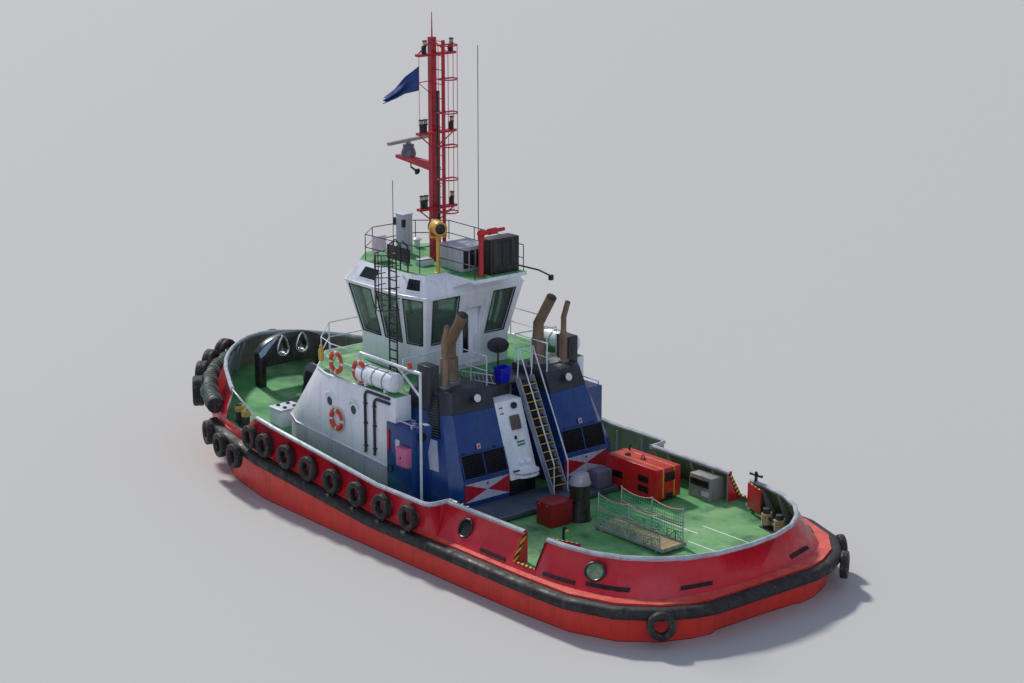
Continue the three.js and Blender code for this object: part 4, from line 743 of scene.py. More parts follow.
# columns: forward end, aft end, lower edge, upper edge of each freeing slot
SLOTS = [(-6.28, -7.42, 1.26, 1.36), (-9.03, -10.21, 1.28, 1.38), (-10.56, -11.76, 1.34, 1.44),
         (-12.64, -12.90, 1.36, 1.47)]
# Each slot is drawn as black plates, painted shade where the opening looks dark.
for fore, aft, low, high in SLOTS:
    for side in (1, -1):
        for k in range(4):
            a = fore + (aft - fore) * k / 4.0
            b = fore + (aft - fore) * (k + 1) / 4.0
            corners = [aft_skin(x, z, side) for x, z in ((a, low), (b, low), (b, high), (a, high))]
            fitting_parts.append(slab(corners, 0.055, [slot_black]))
# columns: x of the hole, height, radius, stretch along the bulwark, coat inside
ROPE_HOLES = [(-5.39, 1.68, 0.31, 1.0, slot_black), (-10.72, 1.72, 0.29, 1.15, hole_green)]
# The forward hole's black fill is painted shade for the dark opening.
for x, z, radius, stretch, inside in ROPE_HOLES:
    for side in (1, -1):
        lip = turned("rope_hole_lip", [(radius * 0.78, -0.01), (radius * 0.80, 0.045),
                                       (radius * 0.90, 0.065), (radius, 0.045),
                                       (radius * 1.02, -0.01)], 32, lip_black)
        hole = turned("rope_hole", [(0.0, -0.005), (radius * 0.8, -0.005), (radius * 0.8, 0.014),
                                    (0.0, 0.014)], 32, inside)
        along = (aft_skin(x - 0.1, z, side) - aft_skin(x + 0.1, z, side)) * side
        up = aft_skin(x, z + 0.1, side) - aft_skin(x, z, side)
        for part in (lip, hole):
            part.data.transform(Matrix.Diagonal((stretch, 1.0, 1.0, 1.0)))
            fitting_parts.append(laid(part, aft_skin(x, z, side), along, up))
for x in (-5.0, -6.0, -7.0, -9.4, -10.3, -11.1, -11.8, -12.4):
    for side in (1, -1):
        low, high = aft_skin(x, 1.22, side), aft_skin(x, 2.07, side)
        inward = Vector((high.x - low.x, high.y - low.y, 0.0)).normalized()
        corners = [low + inward * 0.07, high + inward * 0.07, high + inward * 0.15, low + inward * 0.36]
        fitting_parts.append(slab(corners, 0.018, [bulwark_grey]))
stay_pale = paint("stay_pale_paint", "8f9698", "a3a8a8", "4f443a", wear=0.5, run=0.5, gloss=0.45)
for x in [-3.0, -1.8, -0.6, 0.6, 1.8, 3.0, 4.2, 5.2, 8.5, 9.1, 9.7, 10.3, 10.9, 11.4, 11.8, 12.2, 12.5]:
    for side in (1, -1):
        inward = Vector((slope_at(x), -1.0, 0.0)).normalized()
        inward.y *= side
        foot = Vector((x, wall_half(x) * side, deck_level(x) + 0.01)) + inward * 0.095
        rail = Vector((foot.x, foot.y, rail_level(x) - 0.12)) + inward * lean_in(x)
        corners = [foot, rail, rail + inward * 0.07, foot + inward * (0.1 if x < 4 else 0.26)]
        fitting_parts.append(slab(corners, 0.02, [stay_pale]))
for side in (1, -1):
    for x, shift in ((-7.745, -0.011), (-8.705, 0.011)):
        fitting_parts.append(slab([(x + shift, 4.70 * side, 1.36), (x + shift, 4.30 * side, 2.10),
                                   (x + shift, 4.18 * side, 2.10), (x + shift, 4.56 * side, 1.36)], 0.012,
                                  [slot_black]))
rail_wrap = [aft_skin(x, 2.17) for x in (-4.34, -4.5, -4.7)]
fitting_parts.append(pipe([[point + Vector((0.0, -0.04, 0.0)) for point in rail_wrap]], 0.088, lip_black))
for start in (-4.9, -5.15):
    at = aft_skin(start, 2.17) + Vector((0.0, -0.04, 0.0))
    fitting_parts.append(pipe([[at, at + Vector((-0.07, 0.0, 0.0))]], 0.084, lip_black))
staghorn = [[(-8.95, -4.15, 2.15), (-8.95, -4.15, 2.52)], [(-9.2, -4.15, 2.42), (-8.7, -4.15, 2.42)]]
fitting_parts.append(pipe(staghorn, 0.05, lip_black))
fitted(fitting_parts, "bulwark_fittings", angle=30.0)


# Ropes on the bitts. Thick laid rope wound round the posts, gold at the bow
# and tan at the stern, each turn resting on the one below.

rope_gold = paint("rope_gold", "b99a4a", "cfb468", "6b5326", wear=0.5, patch=8.0, gloss=0.85, bump=0.7,
                  grain=60.0)
rope_tan = paint("rope_tan", "b28f6a", "c8a988", "6a4e36", wear=0.5, patch=8.0, gloss=0.85, bump=0.7,
                 grain=60.0)
# columns: middle of the pair, its turn, deck height, side, rope, lowest turn, turns
BITT_PAIRS = [(7.43, 4.03, -13.0, 1.825, 1, rope_gold, 0.40, 4),
              (-10.51, 3.31, 12.0, 1.2, -1, rope_tan, 0.12, 7)]
wound = []
for x, y, turn, level, side, rope, lowest, turns in BITT_PAIRS:
    for end in (-0.345, 0.345):
        px = x + math.cos(math.radians(turn)) * end
        py = (y + math.sin(math.radians(turn)) * end) * side
        coil = []
        for k in range(turns * 16 + 1):
            t = k / 16.0 * math.tau
            z = level + lowest + k / 16.0 * 0.052
            coil.append((px + math.cos(t) * 0.147, py + math.sin(t) * 0.147, z))
        wound.append(pipe([coil], 0.027, rope))
fitted(wound, "bitt_ropes", angle=60.0)


# Bulwark gates. Small steel doors folded back inside the bulwark on two pins,
# red on both faces, their top edge striped in yellow and black so that nobody
# walks into it.


def striped(name, first, second, turn, pitch):
    """Slanting safety stripes in two colours, rubbed at the corners."""
    finish, tree, shader = shaded(name)
    place = tree.nodes.new("ShaderNodeTexCoord")
    axes = tree.nodes.new("ShaderNodeSeparateXYZ")
    tree.links.new(place.outputs["Object"], axes.inputs["Vector"])
    shares = [times(tree, axes.outputs[axis], share) for axis, share in zip("XYZ", turn)]
    slope = times(tree, times(tree, shares[0], shares[1], "ADD"), shares[2], "ADD")
    wave = times(tree, times(tree, slope, 1.0 / pitch), 1.0, "PINGPONG")
    edge = times(tree, wave, 0.5, "GREATER_THAN")
    colour = laid_over(tree, edge, first, second)
    rubbed = times(tree, mottle(tree, 7.0, start=0.55, end=0.68), 0.7)
    tree.links.new(laid_over(tree, rubbed, colour, linear("6b5a45")), shader.inputs["Base Color"])
    shader.inputs["Roughness"].default_value = 0.5
    return finish


safety_stripes = striped("safety_stripes", linear("e3b31c"), linear("141414"), (1.0, 0.6, 1.0), 0.09)
gate_red = paint("gate_red_paint", "c5182a", "b02030", "541a1a", wear=0.5, gloss=0.35)


def gate_coat(centre, normal):
    """Stripes along the top edge, red elsewhere."""
    return 1 if centre.z > 2.165 else 0


for side in ("port", "starboard"):
    welded(f"{side}_gate", f"{side}_gate_leaf", [gate_red, safety_stripes], edge=0.006,
           which=gate_coat)
stripe_parts = []
for side in (1, -1):
    stripe_parts.append(slab([(-7.765, 4.73 * side, 1.36), (-7.765, 4.27 * side, 2.13),
                              (-7.765, 4.17 * side, 2.13), (-7.765, 4.58 * side, 1.36)], 0.012,
                             [safety_stripes]))
    stripe_parts.append(slab([(-7.77, 4.72 * side, 1.358), (-8.69, 4.70 * side, 1.358),
                              (-8.69, 4.60 * side, 1.358), (-7.77, 4.62 * side, 1.358)], 0.012,
                             [safety_stripes]))
fitted(stripe_parts, "gateway_stripes")


# Deckhouse. Welded steel house, grey below a ledge and white above it, its
# paint stained in runs by rust. The deck on top is green.

house_white = paint("house_white_paint", "e9ebf0", "d7d9de", "a08a72", wear=0.25, run=0.28, gloss=0.33,
                    patch=0.7)
house_grey = paint("house_grey_paint", "a9acb6", "999ca6", "6a5648", wear=0.35, run=0.45, gloss=0.4)
welded("deckhouse_lower", "deckhouse_band", [house_grey], edge=0.03)


def house_coat(centre, normal):
    """Deck paint on the top, white elsewhere."""
    return 1 if normal.z > 0.9 and centre.z > 4.6 else 0


bridge_green = deck_paint("bridge_deck_green_paint", [])
welded("deckhouse_upper", "deckhouse_white", [house_white, bridge_green], edge=0.03,
       which=house_coat)


# House fittings. Deadlights with brass-ringed glass under rain hoods, painted
# over in white, a half-round ledge strip, black vent pipes clipped to the port
# side, and cork lifebuoys in orange with white bands.

port_glass = paint("port_glass", "10161c", "1d262c", "2a2a28", gloss=0.12, patch=3.0)
buoy_orange = paint("buoy_orange", "d63a1c", "c24a2a", "7a2a1a", wear=0.4, patch=4.0, gloss=0.45)
buoy_white = paint("buoy_white", "d9d6d0", "c8c4bc", "8a7a6a", wear=0.4, gloss=0.5)
vent_black = paint("vent_black_paint", "16161a", "202026", "5a5048", wear=0.4, gloss=0.3)


def outboard(piece, place, side):
    """Lay a piece flat against a wall that looks to port or, with -1, to starboard."""
    return laid(piece, place, (-side, 0.0, 0.0), UP)


house_parts = []
# columns: x and half breadth of the wall, height of each deadlight
DEADLIGHTS = [(2.39, 3.907, 3.79), (1.07, 3.925, 3.79)]
for x, y, z in DEADLIGHTS:
    for side in (1, -1):
        ring = turned("deadlight_ring", [(0.15, 0.0), (0.155, 0.05), (0.185, 0.06), (0.215, 0.045),
                                         (0.225, 0.0)], 28, house_white)
        glass = turned("deadlight_glass", [(0.0, 0.0), (0.16, 0.0), (0.16, 0.025), (0.0, 0.03)], 28,
                       port_glass)
        house_parts += [outboard(part, (x, y * side, z), side) for part in (ring, glass)]
        hood = [(x + math.cos(t) * 0.27, (y + 0.05) * side, z + 0.03 + math.sin(t) * 0.27)
                for t in [math.radians(20 + k * 14) for k in range(11)]]
        house_parts.append(pipe([hood], 0.03, house_white))
for side in (1, -1):
    strip = [(-0.72, 3.965, 2.335), (4.45, 3.855, 2.593), (5.28, 3.512, 2.634), (6.31, 2.21, 2.685),
             (6.31, 0.0, 2.685)]
    house_parts.append(pipe([[(x, y * side, z) for x, y, z in strip]], 0.022, house_white))
    lip = [(-0.75, 3.96, 4.66), (2.55, 3.94, 4.66), (3.45, 3.66, 4.66), (4.9, 2.31, 4.66),
           (4.9, 0.0, 4.66)]
    house_parts.append(pipe([[(x, y * side, z) for x, y, z in lip]], 0.03, house_white))
vent_runs = [[(0.39, 4.0, 2.56), (0.39, 4.0, 4.46), (0.33, 4.0, 4.56), (0.24, 4.0, 4.60),
              (-0.9, 4.0, 4.60)],
             [(-0.09, 4.0, 2.56), (-0.09, 4.0, 4.30), (-0.15, 4.0, 4.40), (-0.24, 4.0, 4.44),
              (-0.9, 4.0, 4.44)]]
house_parts.append(pipe(vent_runs, 0.045, vent_black, round_steps=3))
house_parts += [block((x - 0.07, 3.94, z), (x + 0.07, 4.03, z + 0.05), vent_black)
                for x in (0.39, -0.09) for z in (2.75, 3.5, 4.15)]
fitted(house_parts, "house_fittings")

buoys = []
# columns: x, y, z of each lifebuoy
BUOYS = [(1.99, 3.985, 3.26), (2.1, 3.87, 5.13), (0.84, 3.87, 5.10), (1.99, -3.985, 3.26)]
section = [(0.30 + math.cos(k * math.tau / 14) * 0.078, math.sin(k * math.tau / 14) * 0.06)
           for k in range(14)]
for x, y, z in BUOYS:
    buoy = turned("lifebuoy", section, 48, buoy_orange)
    buoy.data.materials.append(buoy_white)
    for face in buoy.data.polygons:
        if (math.degrees(math.atan2(face.center.y, face.center.x)) + 8.0) % 90.0 < 17.0:
            face.material_index = 1
    side = 1.0 if y > 0.0 else -1.0
    grab = []
    for k in range(33):
        t = k * math.tau / 32
        reach = 0.385 + 0.03 * abs(math.sin(2.0 * t))
        grab.append((math.cos(t) * reach, math.sin(t) * reach, 0.0))
    buoys += [outboard(part, (x, y, z), side) for part in (buoy, pipe([grab], 0.01, buoy_white))]
fitted(buoys, "lifebuoys", angle=60.0)


# Exhaust casings. Two raked steel casings in gloss blue, black above the
# knuckle where soot would show, with louvred grilles on their aft faces.

casing_blue = paint("casing_blue_paint", "153a78", "1f487e", "0d1a30", wear=0.3, run=0.4, gloss=0.22,
                    patch=0.9)
soot_black = paint("soot_black_paint", "26282e", "34363c", "57534d", wear=0.4, run=0.3, gloss=0.35)
for side in ("port", "starboard"):
    welded(f"{side}_casing", f"{side}_casing_plate", [casing_blue], edge=0.02)
    welded(f"{side}_casing_top", f"{side}_casing_cap", [soot_black], edge=0.015)


# Casing fittings. Louvred intakes in black frames, quartered red and white
# boards, round flood lamps, a sloping fan of slats, small boxes and a hand
# wheel bolted to the port side, and pale patches rubbed on the port step.

lamp_black = paint("lamp_black", "141416", "202024", "4d4a46", gloss=0.3, patch=5.0)
louvre_black = paint("louvre_black_paint", "0d0e12", "181920", "3a3834", wear=0.3, gloss=0.35)
board_red = paint("board_red_paint", "c01826", "a82030", "5a1418", wear=0.4, gloss=0.35)
board_pale = paint("board_pale_paint", "c3c3d2", "b0b0c0", "6a6468", wear=0.4, gloss=0.35)
lamp_glass = paint("lamp_glass", "e6e6e2", "cfd0cc", "8a8a84", gloss=0.12, patch=5.0)
box_pink = paint("box_pink_paint", "c8668e", "b8607f", "7a4058", wear=0.3, gloss=0.4)
slat_steel = paint("slat_steel_paint", "5c5e66", "70727a", "5a5650", wear=0.4, gloss=0.35)


def raked(piece, place):
    """Lay a piece on a face that looks aft and leans forward."""
    return laid(piece, place, (0.0, -1.0, 0.0), (0.355, 0.0, 1.0))


def on_side(side, part, z):
    """A point just off the outboard face of a casing, by its part forward and its height."""
    rise = (z - 2.2) / 2.0
    aft = Vector((-3.08 + 0.83 * rise, (3.40 - 0.42 * rise) * side, z))
    fore = Vector((-0.70, (3.60 - 0.42 * rise) * side, z))
    return aft + (fore - aft) * part + Vector((0.0, 0.02 * side, 0.004))


casing_parts = []
for side in (1, -1):
    bay_parts = [block((-0.86, -0.37, -0.02), (0.86, 0.37, 0.012), louvre_black)]
    bay_parts += [block((x - 0.022, -0.38, 0.0), (x + 0.022, 0.38, 0.05), casing_blue)
                  for x in (-0.87, 0.0, 0.87)]
    bay_parts += [block((-0.87, z - 0.02, 0.0), (0.87, z + 0.02, 0.05), casing_blue)
                  for z in (-0.38, 0.38)]
    for bay in (-0.435, 0.435):
        for k in range(10):
            slat = block((-0.40, -0.034, -0.004), (0.40, 0.034, 0.004), louvre_black, 0.002)
            tilt = Matrix.Rotation(0.7, 4, "X")
            slat.data.transform(Matrix.Translation((bay, -0.315 + k * 0.07, 0.03)) @ tilt)
            bay_parts.append(slat)
    bay_parts += [block((x, 0.38, 0.0), (x + 0.05, 0.47, 0.03), louvre_black) for x in (-0.7, 0.55)]
    casing_parts.append(raked(joined(bay_parts), (-3.19, 2.07 * side, 2.66)))
    # the quartered board below the louvres
    inner, outer, low, high, x = 1.17 * side, 2.95 * side, 1.57, 2.17, -3.362
    corners = [(x, inner, low), (x, outer, low), (x, outer, high), (x, inner, high),
               (x, 2.06 * side, 1.87)]
    quarters = [(0, 1, 4), (1, 2, 4), (2, 3, 4), (3, 0, 4)]
    casing_parts.append(slab(corners, 0.012, [board_red, board_pale], quarters, [1, 0, 1, 0]))
    dot = turned("board_dot", [(0.0, 0.0), (0.045, 0.0), (0.045, 0.012), (0.0, 0.012)], 16, board_red)
    casing_parts.append(laid(dot, (x - 0.006, 2.06 * side, 2.07), (0.0, -1.0, 0.0), UP))
    sticker = joined([block((-0.075, -0.08, 0.0), (0.075, 0.08, 0.006), board_pale, 0.002),
                      block((-0.045, -0.05, 0.004), (0.045, 0.05, 0.010), buoy_orange, 0.002)])
    casing_parts.append(raked(sticker, (-2.995, 2.12 * side, 3.19)))
    lamp = joined([turned("flood_lamp", [(0.0, -0.10), (0.10, -0.09), (0.14, -0.02), (0.15, 0.05),
                                         (0.13, 0.05), (0.0, 0.05)], 24, soot_black),
                   turned("flood_glass", [(0.0, 0.045), (0.13, 0.045), (0.12, 0.075), (0.0, 0.10)], 24,
                          lamp_glass)])
    casing_parts.append(laid(lamp, (-2.63, 1.90 * side, 4.62), (0.0, -1.0, 0.0), (0.3, 0.0, 1.0)))
    casing_parts.append(pipe([[(-2.50, 1.90 * side, 4.84), (-2.52, 1.90 * side, 4.70)]], 0.02,
                             soot_black))
    # the fan of slats and the tapered plate on the outboard face
    proud = Vector((0.0, 0.032 * side, 0.0064))
    fan = [(0.08, 3.48), (0.34, 3.48), (0.40, 4.72), (0.05, 4.72)]
    casing_parts.append(slab([on_side(side, *spot) for spot in fan], 0.02, [louvre_black]))
    for k in range(15):
        z = 3.52 + k * 0.08
        slat = [on_side(side, 0.10, z), on_side(side, 0.33, z), on_side(side, 0.33, z + 0.03) + proud,
                on_side(side, 0.10, z + 0.03) + proud]
        casing_parts.append(slab(slat, 0.008, [slat_steel]))
    plate = [(0.16, 2.5), (0.34, 2.5), (0.40, 3.40), (0.16, 3.40)]
    casing_parts.append(slab([on_side(side, *spot) for spot in plate], 0.016, [board_pale]))
    y = 3.9 * side
    step_rail = [(-0.78, y, 3.83), (-0.78, y, 3.96), (-1.9, y, 3.96), (-1.9, y, 3.83)]
    casing_parts.append(pipe([step_rail], 0.028, board_pale))
casing_parts += [block((-2.0, 3.975, 2.62), (-1.46, 4.20, 3.24), box_pink, 0.03),
                 block((-1.98, 4.195, 2.66), (-1.48, 4.215, 3.20), box_pink, 0.01),
                 block((-1.74, 4.21, 2.88), (-1.70, 4.235, 2.96), louvre_black),
                 block((-1.38, 3.975, 3.02), (-1.16, 3.992, 3.36), board_pale, 0.004),
                 block((-0.86, 3.975, 2.9), (-0.76, 4.02, 3.6), board_red, 0.01)]
round_vent = turned("round_vent", [(0.0, 0.0), (0.13, 0.0), (0.16, 0.03), (0.15, 0.10), (0.0, 0.12)], 24,
                    louvre_black)
casing_parts.append(laid(round_vent, (-2.0, 3.62, 3.55), (0.0, -1.0, 0.0), UP))
# columns: x, y, length, breadth of each patch rubbed pale on the port step
RUBBED = [(-1.80, 3.25, 0.30, 0.10), (-1.45, 3.45, 0.22, 0.09), (-1.15, 3.30, 0.28, 0.08),
          (-1.60, 3.62, 0.20, 0.07)]
for x, y, long, wide in RUBBED:
    patch = [(x - long / 2, y - wide / 2), (x + long / 3, y - wide), (x + long / 2, y + wide / 2),
             (x - long / 4, y + wide)]
    casing_parts.append(slab([(*spot, 3.833) for spot in patch], 0.004, [board_pale]))
hand_wheel = turned("hand_wheel", [(0.10, -0.015), (0.13, -0.015), (0.13, 0.015), (0.10, 0.015)], 20,
                    louvre_black)
casing_parts.append(outboard(hand_wheel, (-0.95, 4.05, 2.35), 1.0))
fitted(casing_parts, "casing_fittings")


# Exhaust stacks. Rolled pipe lagged and clad in sheet, painted a brown bronze
# that is baked matt, the cut mouths black with soot.

stack_bronze = paint("stack_bronze_paint", "7d6450", "927a63", "3f2c20", wear=0.4, patch=1.5, run=0.5,
                     gloss=0.5, metal=0.25)
stack_soot = paint("stack_soot", "1d1a18", "2b2725", "4a3c30", wear=0.4, gloss=0.75)
flange_grey = paint("flange_grey", "8d8d90", "7c7c7e", "5a4838", wear=0.5, gloss=0.4, metal=0.5)


def stack_coat(centre, normal):
    """Bare flange at the foot, soot inside the cut mouth, bronze between."""
    if centre.z < 4.95:
        return 2
    mouth = 6.75 if abs(centre.y) < 2.2 else 6.72
    return 1 if centre.z > mouth else 0


for side in ("port", "starboard"):
    welded(f"{side}_stacks", f"{side}_stack_pipes", [stack_bronze, stack_soot, flange_grey],
           edge=0.008, which=stack_coat)


# Wheelhouse. Welded steel house whose window band leans outwards, white
# outside and dark inside, under a raked roof with a green deck and a canopy
# over the aft door.

cabin_dark = paint("cabin_lining", "3b3a3c", "4a4846", "26241f", gloss=0.6)


def wheelhouse_coat(centre, normal):
    """Dark lining on what faces into the cabin, white elsewhere."""
    inside = abs(centre.y) < 1.86 and 0.2 < centre.x < 4.0
    inward = normal.x * (centre.x - 2.0) * 0.5 + normal.y * centre.y < -0.05
    return 1 if inside and inward else 0


welded("wheelhouse", "wheelhouse_walls", [house_white, cabin_dark], edge=0.012,
       which=wheelhouse_coat)
roof_green = deck_paint("roof_deck_green_paint", [])


def roof_coat(centre, normal):
    """Deck paint on top, dark lining on the cabin's ceiling, white elsewhere."""
    if normal.z > 0.95 and centre.z > 7.95:
        return 1
    return 2 if normal.z < -0.5 and centre.x > 0.3 else 0


welded("wheelhouse_roof", "wheelhouse_roof_plate", [house_white, roof_green, cabin_dark],
       edge=0.02, which=roof_coat)


# Glazing. Flat panes of toughened glass with a green sun tint, dulled by a
# film of salt and bedded in the walls of the wheelhouse.

tinted_glass, glass_tree, glass_shader = shaded("tinted_glass")
glass_shader.inputs["Base Color"].default_value = linear("a4bcae")
glass_shader.inputs["Transmission Weight"].default_value = 0.85
glass_shader.inputs["IOR"].default_value = 1.2
glass_film = glass_tree.nodes.new("ShaderNodeMapRange")
glass_film.inputs["To Min"].default_value = 0.03
glass_film.inputs["To Max"].default_value = 0.16
glass_tree.links.new(mottle(glass_tree, 1.4), glass_film.inputs["Value"])
glass_tree.links.new(glass_film.outputs["Result"], glass_shader.inputs["Roughness"])
welded("wheelhouse_glazing", "wheelhouse_glass", [tinted_glass])


# Window frames, skylights, ladder and roof trim of the wheelhouse. Black
# rubber round each pane, dark panes let into the sloped roof, and a black
# pipe ladder with a hooped cage on the port side.

frame_black = paint("window_rubber", "141417", "1f1f22", "3a3836", gloss=0.55, patch=4.0)
sky_pane = paint("skylight_pane", "0d1218", "18222a", "2c3034", gloss=0.10, patch=2.0)
SILL = [(0.18, 1.72), (0.95, 1.93), (3.30, 1.93), (4.15, 1.05)]
EAVE = [(-0.28, 2.02), (0.75, 2.30), (3.70, 2.30), (4.70, 1.265)]
ROOF = [(0.18, 1.70), (0.90, 1.90), (3.45, 1.90), (4.25, 1.07)]
SILL += [(x, -y) for x, y in reversed(SILL)]
EAVE += [(x, -y) for x, y in reversed(EAVE)]
ROOF += [(x, -y) for x, y in reversed(ROOF)]


def on_wall(low, high, low_z, high_z, panel, part, rise):
    """A point on a leaning wall panel, by its parts across and up."""
    a, b = low[panel], low[(panel + 1) % 8]
    c, d = high[panel], high[(panel + 1) % 8]
    foot = Vector((a[0] + (b[0] - a[0]) * part, a[1] + (b[1] - a[1]) * part, low_z))
    head = Vector((c[0] + (d[0] - c[0]) * part, c[1] + (d[1] - c[1]) * part, high_z))
    return foot + (head - foot) * rise


# columns: wall panel, start and end parts across it, sill and head parts up it
WINDOWS = [(0, 0.14, 0.90, 0.05, 0.93), (1, 0.06, 0.44, 0.05, 0.93), (1, 0.54, 0.95, 0.05, 0.93),
           (2, 0.08, 0.92, 0.05, 0.93), (3, 0.04, 0.47, 0.05, 0.93), (3, 0.53, 0.96, 0.05, 0.93),
           (4, 0.08, 0.92, 0.05, 0.93), (5, 0.05, 0.46, 0.05, 0.93), (5, 0.56, 0.94, 0.05, 0.93),
           (6, 0.10, 0.86, 0.05, 0.93), (7, 0.07, 0.30, 0.08, 0.90), (7, 0.66, 0.93, 0.05, 0.93)]
frames = [[on_wall(SILL, EAVE, 5.6, 7.38, panel, part, rise)
           for part, rise in ((start, low), (end, low), (end, high), (start, high), (start, low))]
          for panel, start, end, low, high in WINDOWS]
trim = [pipe(frames, 0.026, frame_black)]
# columns: roof panel, start and end parts across it, lower and upper parts up it
SKYLIGHTS = [(1, 0.50, 0.80, 0.25, 0.80), (0, 0.22, 0.80, 0.25, 0.78), (5, 0.20, 0.50, 0.25, 0.80),
             (6, 0.20, 0.78, 0.25, 0.78)]
for panel, start, end, low, high in SKYLIGHTS:
    pane = [on_wall(EAVE, ROOF, 7.385, 8.0, panel, part, rise)
            for part, rise in ((start, low), (end, low), (end, high), (start, high))]
    trim.append(slab(pane, 0.03, [sky_pane]))
    trim.append(pipe([pane + [pane[0]]], 0.022, house_white))
ladder = [[(x, 2.42, 4.7), (x, 2.42, 8.95), (x, 2.15, 9.1), (x, 1.95, 8.9), (x, 1.95, 8.05)]
          for x in (0.75, 1.15)]
ladder += [[(0.75, 2.42, 4.95 + k * 0.29), (1.15, 2.42, 4.95 + k * 0.29)] for k in range(14)]


def on_hoop(t, z):
    """A point on a hoop of the ladder's cage, by its angle and height."""
    return (0.95 - math.cos(t) * 0.36, 2.42 + math.sin(t) * 0.66, z)


hoops = [[on_hoop(j * math.pi / 12, 6.95 + k * 0.36) for j in range(13)] for k in range(6)]
hoops += [[on_hoop(math.pi * j / 6, 6.95), on_hoop(math.pi * j / 6, 8.75)] for j in range(1, 6)]
gutter = [(x, y, 7.37) for x, y in EAVE]
trim += [pipe(ladder, 0.026, frame_black),
         pipe(hoops, 0.016, frame_black, round_steps=1),
         pipe([[(0.0, -1.95, 7.87), (0.0, -2.9, 7.55), (0.0, -3.43, 7.27)]], 0.028, frame_black),
         block((-0.06, -3.52, 7.12), (0.06, -3.38, 7.3), frame_black),
         pipe([gutter], 0.026, house_white)]
fitted(trim, "wheelhouse_trim")


# Console, helm chair and aft door of the wheelhouse. Grey sprayed steel desk,
# black vinyl seat on a post, and a white door hung on the aft wall with one
# tall narrow pane set in rubber.

chair_black = paint("chair_vinyl", "1c1c20", "26262a", "3a3836", gloss=0.45, patch=4.0)
console_grey = paint("console_grey_paint", "6e7378", "7b8086", "4a4a4a", gloss=0.5)
welded("helm_console", "helm_console_desk", [console_grey], edge=0.02)
welded("helm_chair", "helm_chair_seat", [chair_black], edge=0.03)
welded("wheelhouse_door", "wheelhouse_door_leaf", [house_white], edge=0.006)
pane_frame = [(0.07, 0.05, 5.24), (0.07, 0.26, 5.24), (0.07, 0.26, 6.46), (0.07, 0.05, 6.46),
              (0.07, 0.05, 5.24)]
fitted([block((0.078, 0.055, 5.24), (0.092, 0.255, 6.46), port_glass, 0.004),
        pipe([pane_frame], 0.012, frame_black)], "wheelhouse_door_pane", body="wheelhouse_door")


# Inclined panel, landing and platform between the casings. White steel plate
# laid back at the casings' slope, a black walkway from the bridge deck, and a
# slate anti-slip platform whose edges are worn to bare steel.

slate_deck = paint("slate_deck_paint", "3a475a", "4a566a", "1f262f", wear=0.6, patch=1.3, run=0.0,
                   gloss=0.55, bump=0.6, grain=30.0)
welded("aft_bulkhead", "aft_bulkhead_panel", [house_white], edge=0.01)
welded("bridge_deck_aft", "bridge_deck_landing", [soot_black], edge=0.01)
welded("aft_platform", "aft_platform_deck", [slate_deck, worn_steel], edge=0.02, edge_coat=1)


# Fittings on the inclined panel: a ribbed heater box, a switch, two green
# strips left blank, two white cowls over a rounded drip tray, and a black
# round vent at the head.

heater_brown = paint("heater_brown", "5d4f49", "6c5e57", "35291f", wear=0.5, gloss=0.5, patch=5.0)
strip_green = paint("strip_green_paint", "1d8a4c", "2a7a4a", "123f26", wear=0.3)


def on_panel(y, z):
    """A point on the panel's face."""
    return Vector((-3.35 + (z - 2.2) * 0.355, y, z))


heater = [block((-0.19, -0.23, 0.0), (0.19, 0.23, 0.08), heater_brown, 0.03)]
heater += [block((-0.15, -0.19 + k * 0.055, 0.075), (0.15, -0.165 + k * 0.055, 0.09), heater_brown, 0.004)
           for k in range(7)]
panel_parts = [raked(joined(heater), on_panel(0.52, 3.62)),
               raked(block((-0.045, -0.06, 0.0), (0.045, 0.06, 0.03), louvre_black),
                     on_panel(0.62, 3.17))]
panel_parts += [raked(block((-0.16, -0.032, 0.0), (0.16, 0.032, 0.006), strip_green, 0.002),
                      on_panel(0.45, z))
                for z in (3.02, 2.93)]
cowl = [(0.0, 0.0), (0.11, 0.0), (0.115, 0.06), (0.09, 0.12), (0.05, 0.155), (0.0, 0.165)]
panel_parts += [raked(turned("cowl", cowl, 24, house_white), on_panel(y, 2.42)) for y in (0.62, 0.34)]
tray = [(-3.30, 1.02), (-3.52, 0.98), (-3.66, 0.86), (-3.72, 0.68), (-3.72, 0.35), (-3.66, 0.18),
        (-3.52, 0.08), (-3.30, 0.06)]
head_vent = turned("head_vent", [(0.0, 0.0), (0.09, 0.0), (0.11, 0.03), (0.10, 0.10), (0.0, 0.12)], 20,
                   louvre_black)
panel_parts += [slab([(x, y, 2.18) for x, y in tray], 0.05, [house_white]),
                slab([(x * 0.995, y, 2.06) for x, y in tray], 0.10, [house_white]),
                raked(block((-0.2, -0.03, 0.0), (0.05, 0.03, 0.03), louvre_black), (-3.42, 0.86, 2.22)),
                raked(head_vent, on_panel(0.45, 4.12))]
panel_parts += [raked(block((-0.07, -0.02, 0.0), (0.07, 0.02, 0.012), heater_brown), on_panel(0.95, z))
                for z in (4.12, 3.95)]
# A black plate below the drip tray, painted shadow cast by the tray's overhang.
panel_parts.append(block((-3.34, 0.07, 1.44), (-3.30, 1.13, 2.02), louvre_black))
fitted(panel_parts, "panel_fittings")


# Gear on the landing. A dark dish aerial on its post behind the wheelhouse, a
# blue moulded bin above the panel, a light ladder lying along the landing and
# a pale board on the starboard casing.

dish_grey = paint("dish_grey_paint", "4a4450", "5a5460", "2c2830", wear=0.3, gloss=0.4)
bin_blue = paint("moulded_blue", "1414b4", "2020c8", "0c0c50", wear=0.2, gloss=0.4)
dish = turned("dish", [(0.0, 0.0), (0.16, 0.012), (0.28, 0.045), (0.355, 0.085), (0.36, 0.075),
                       (0.28, 0.03), (0.16, -0.006), (0.0, -0.02)], 40, dish_grey)
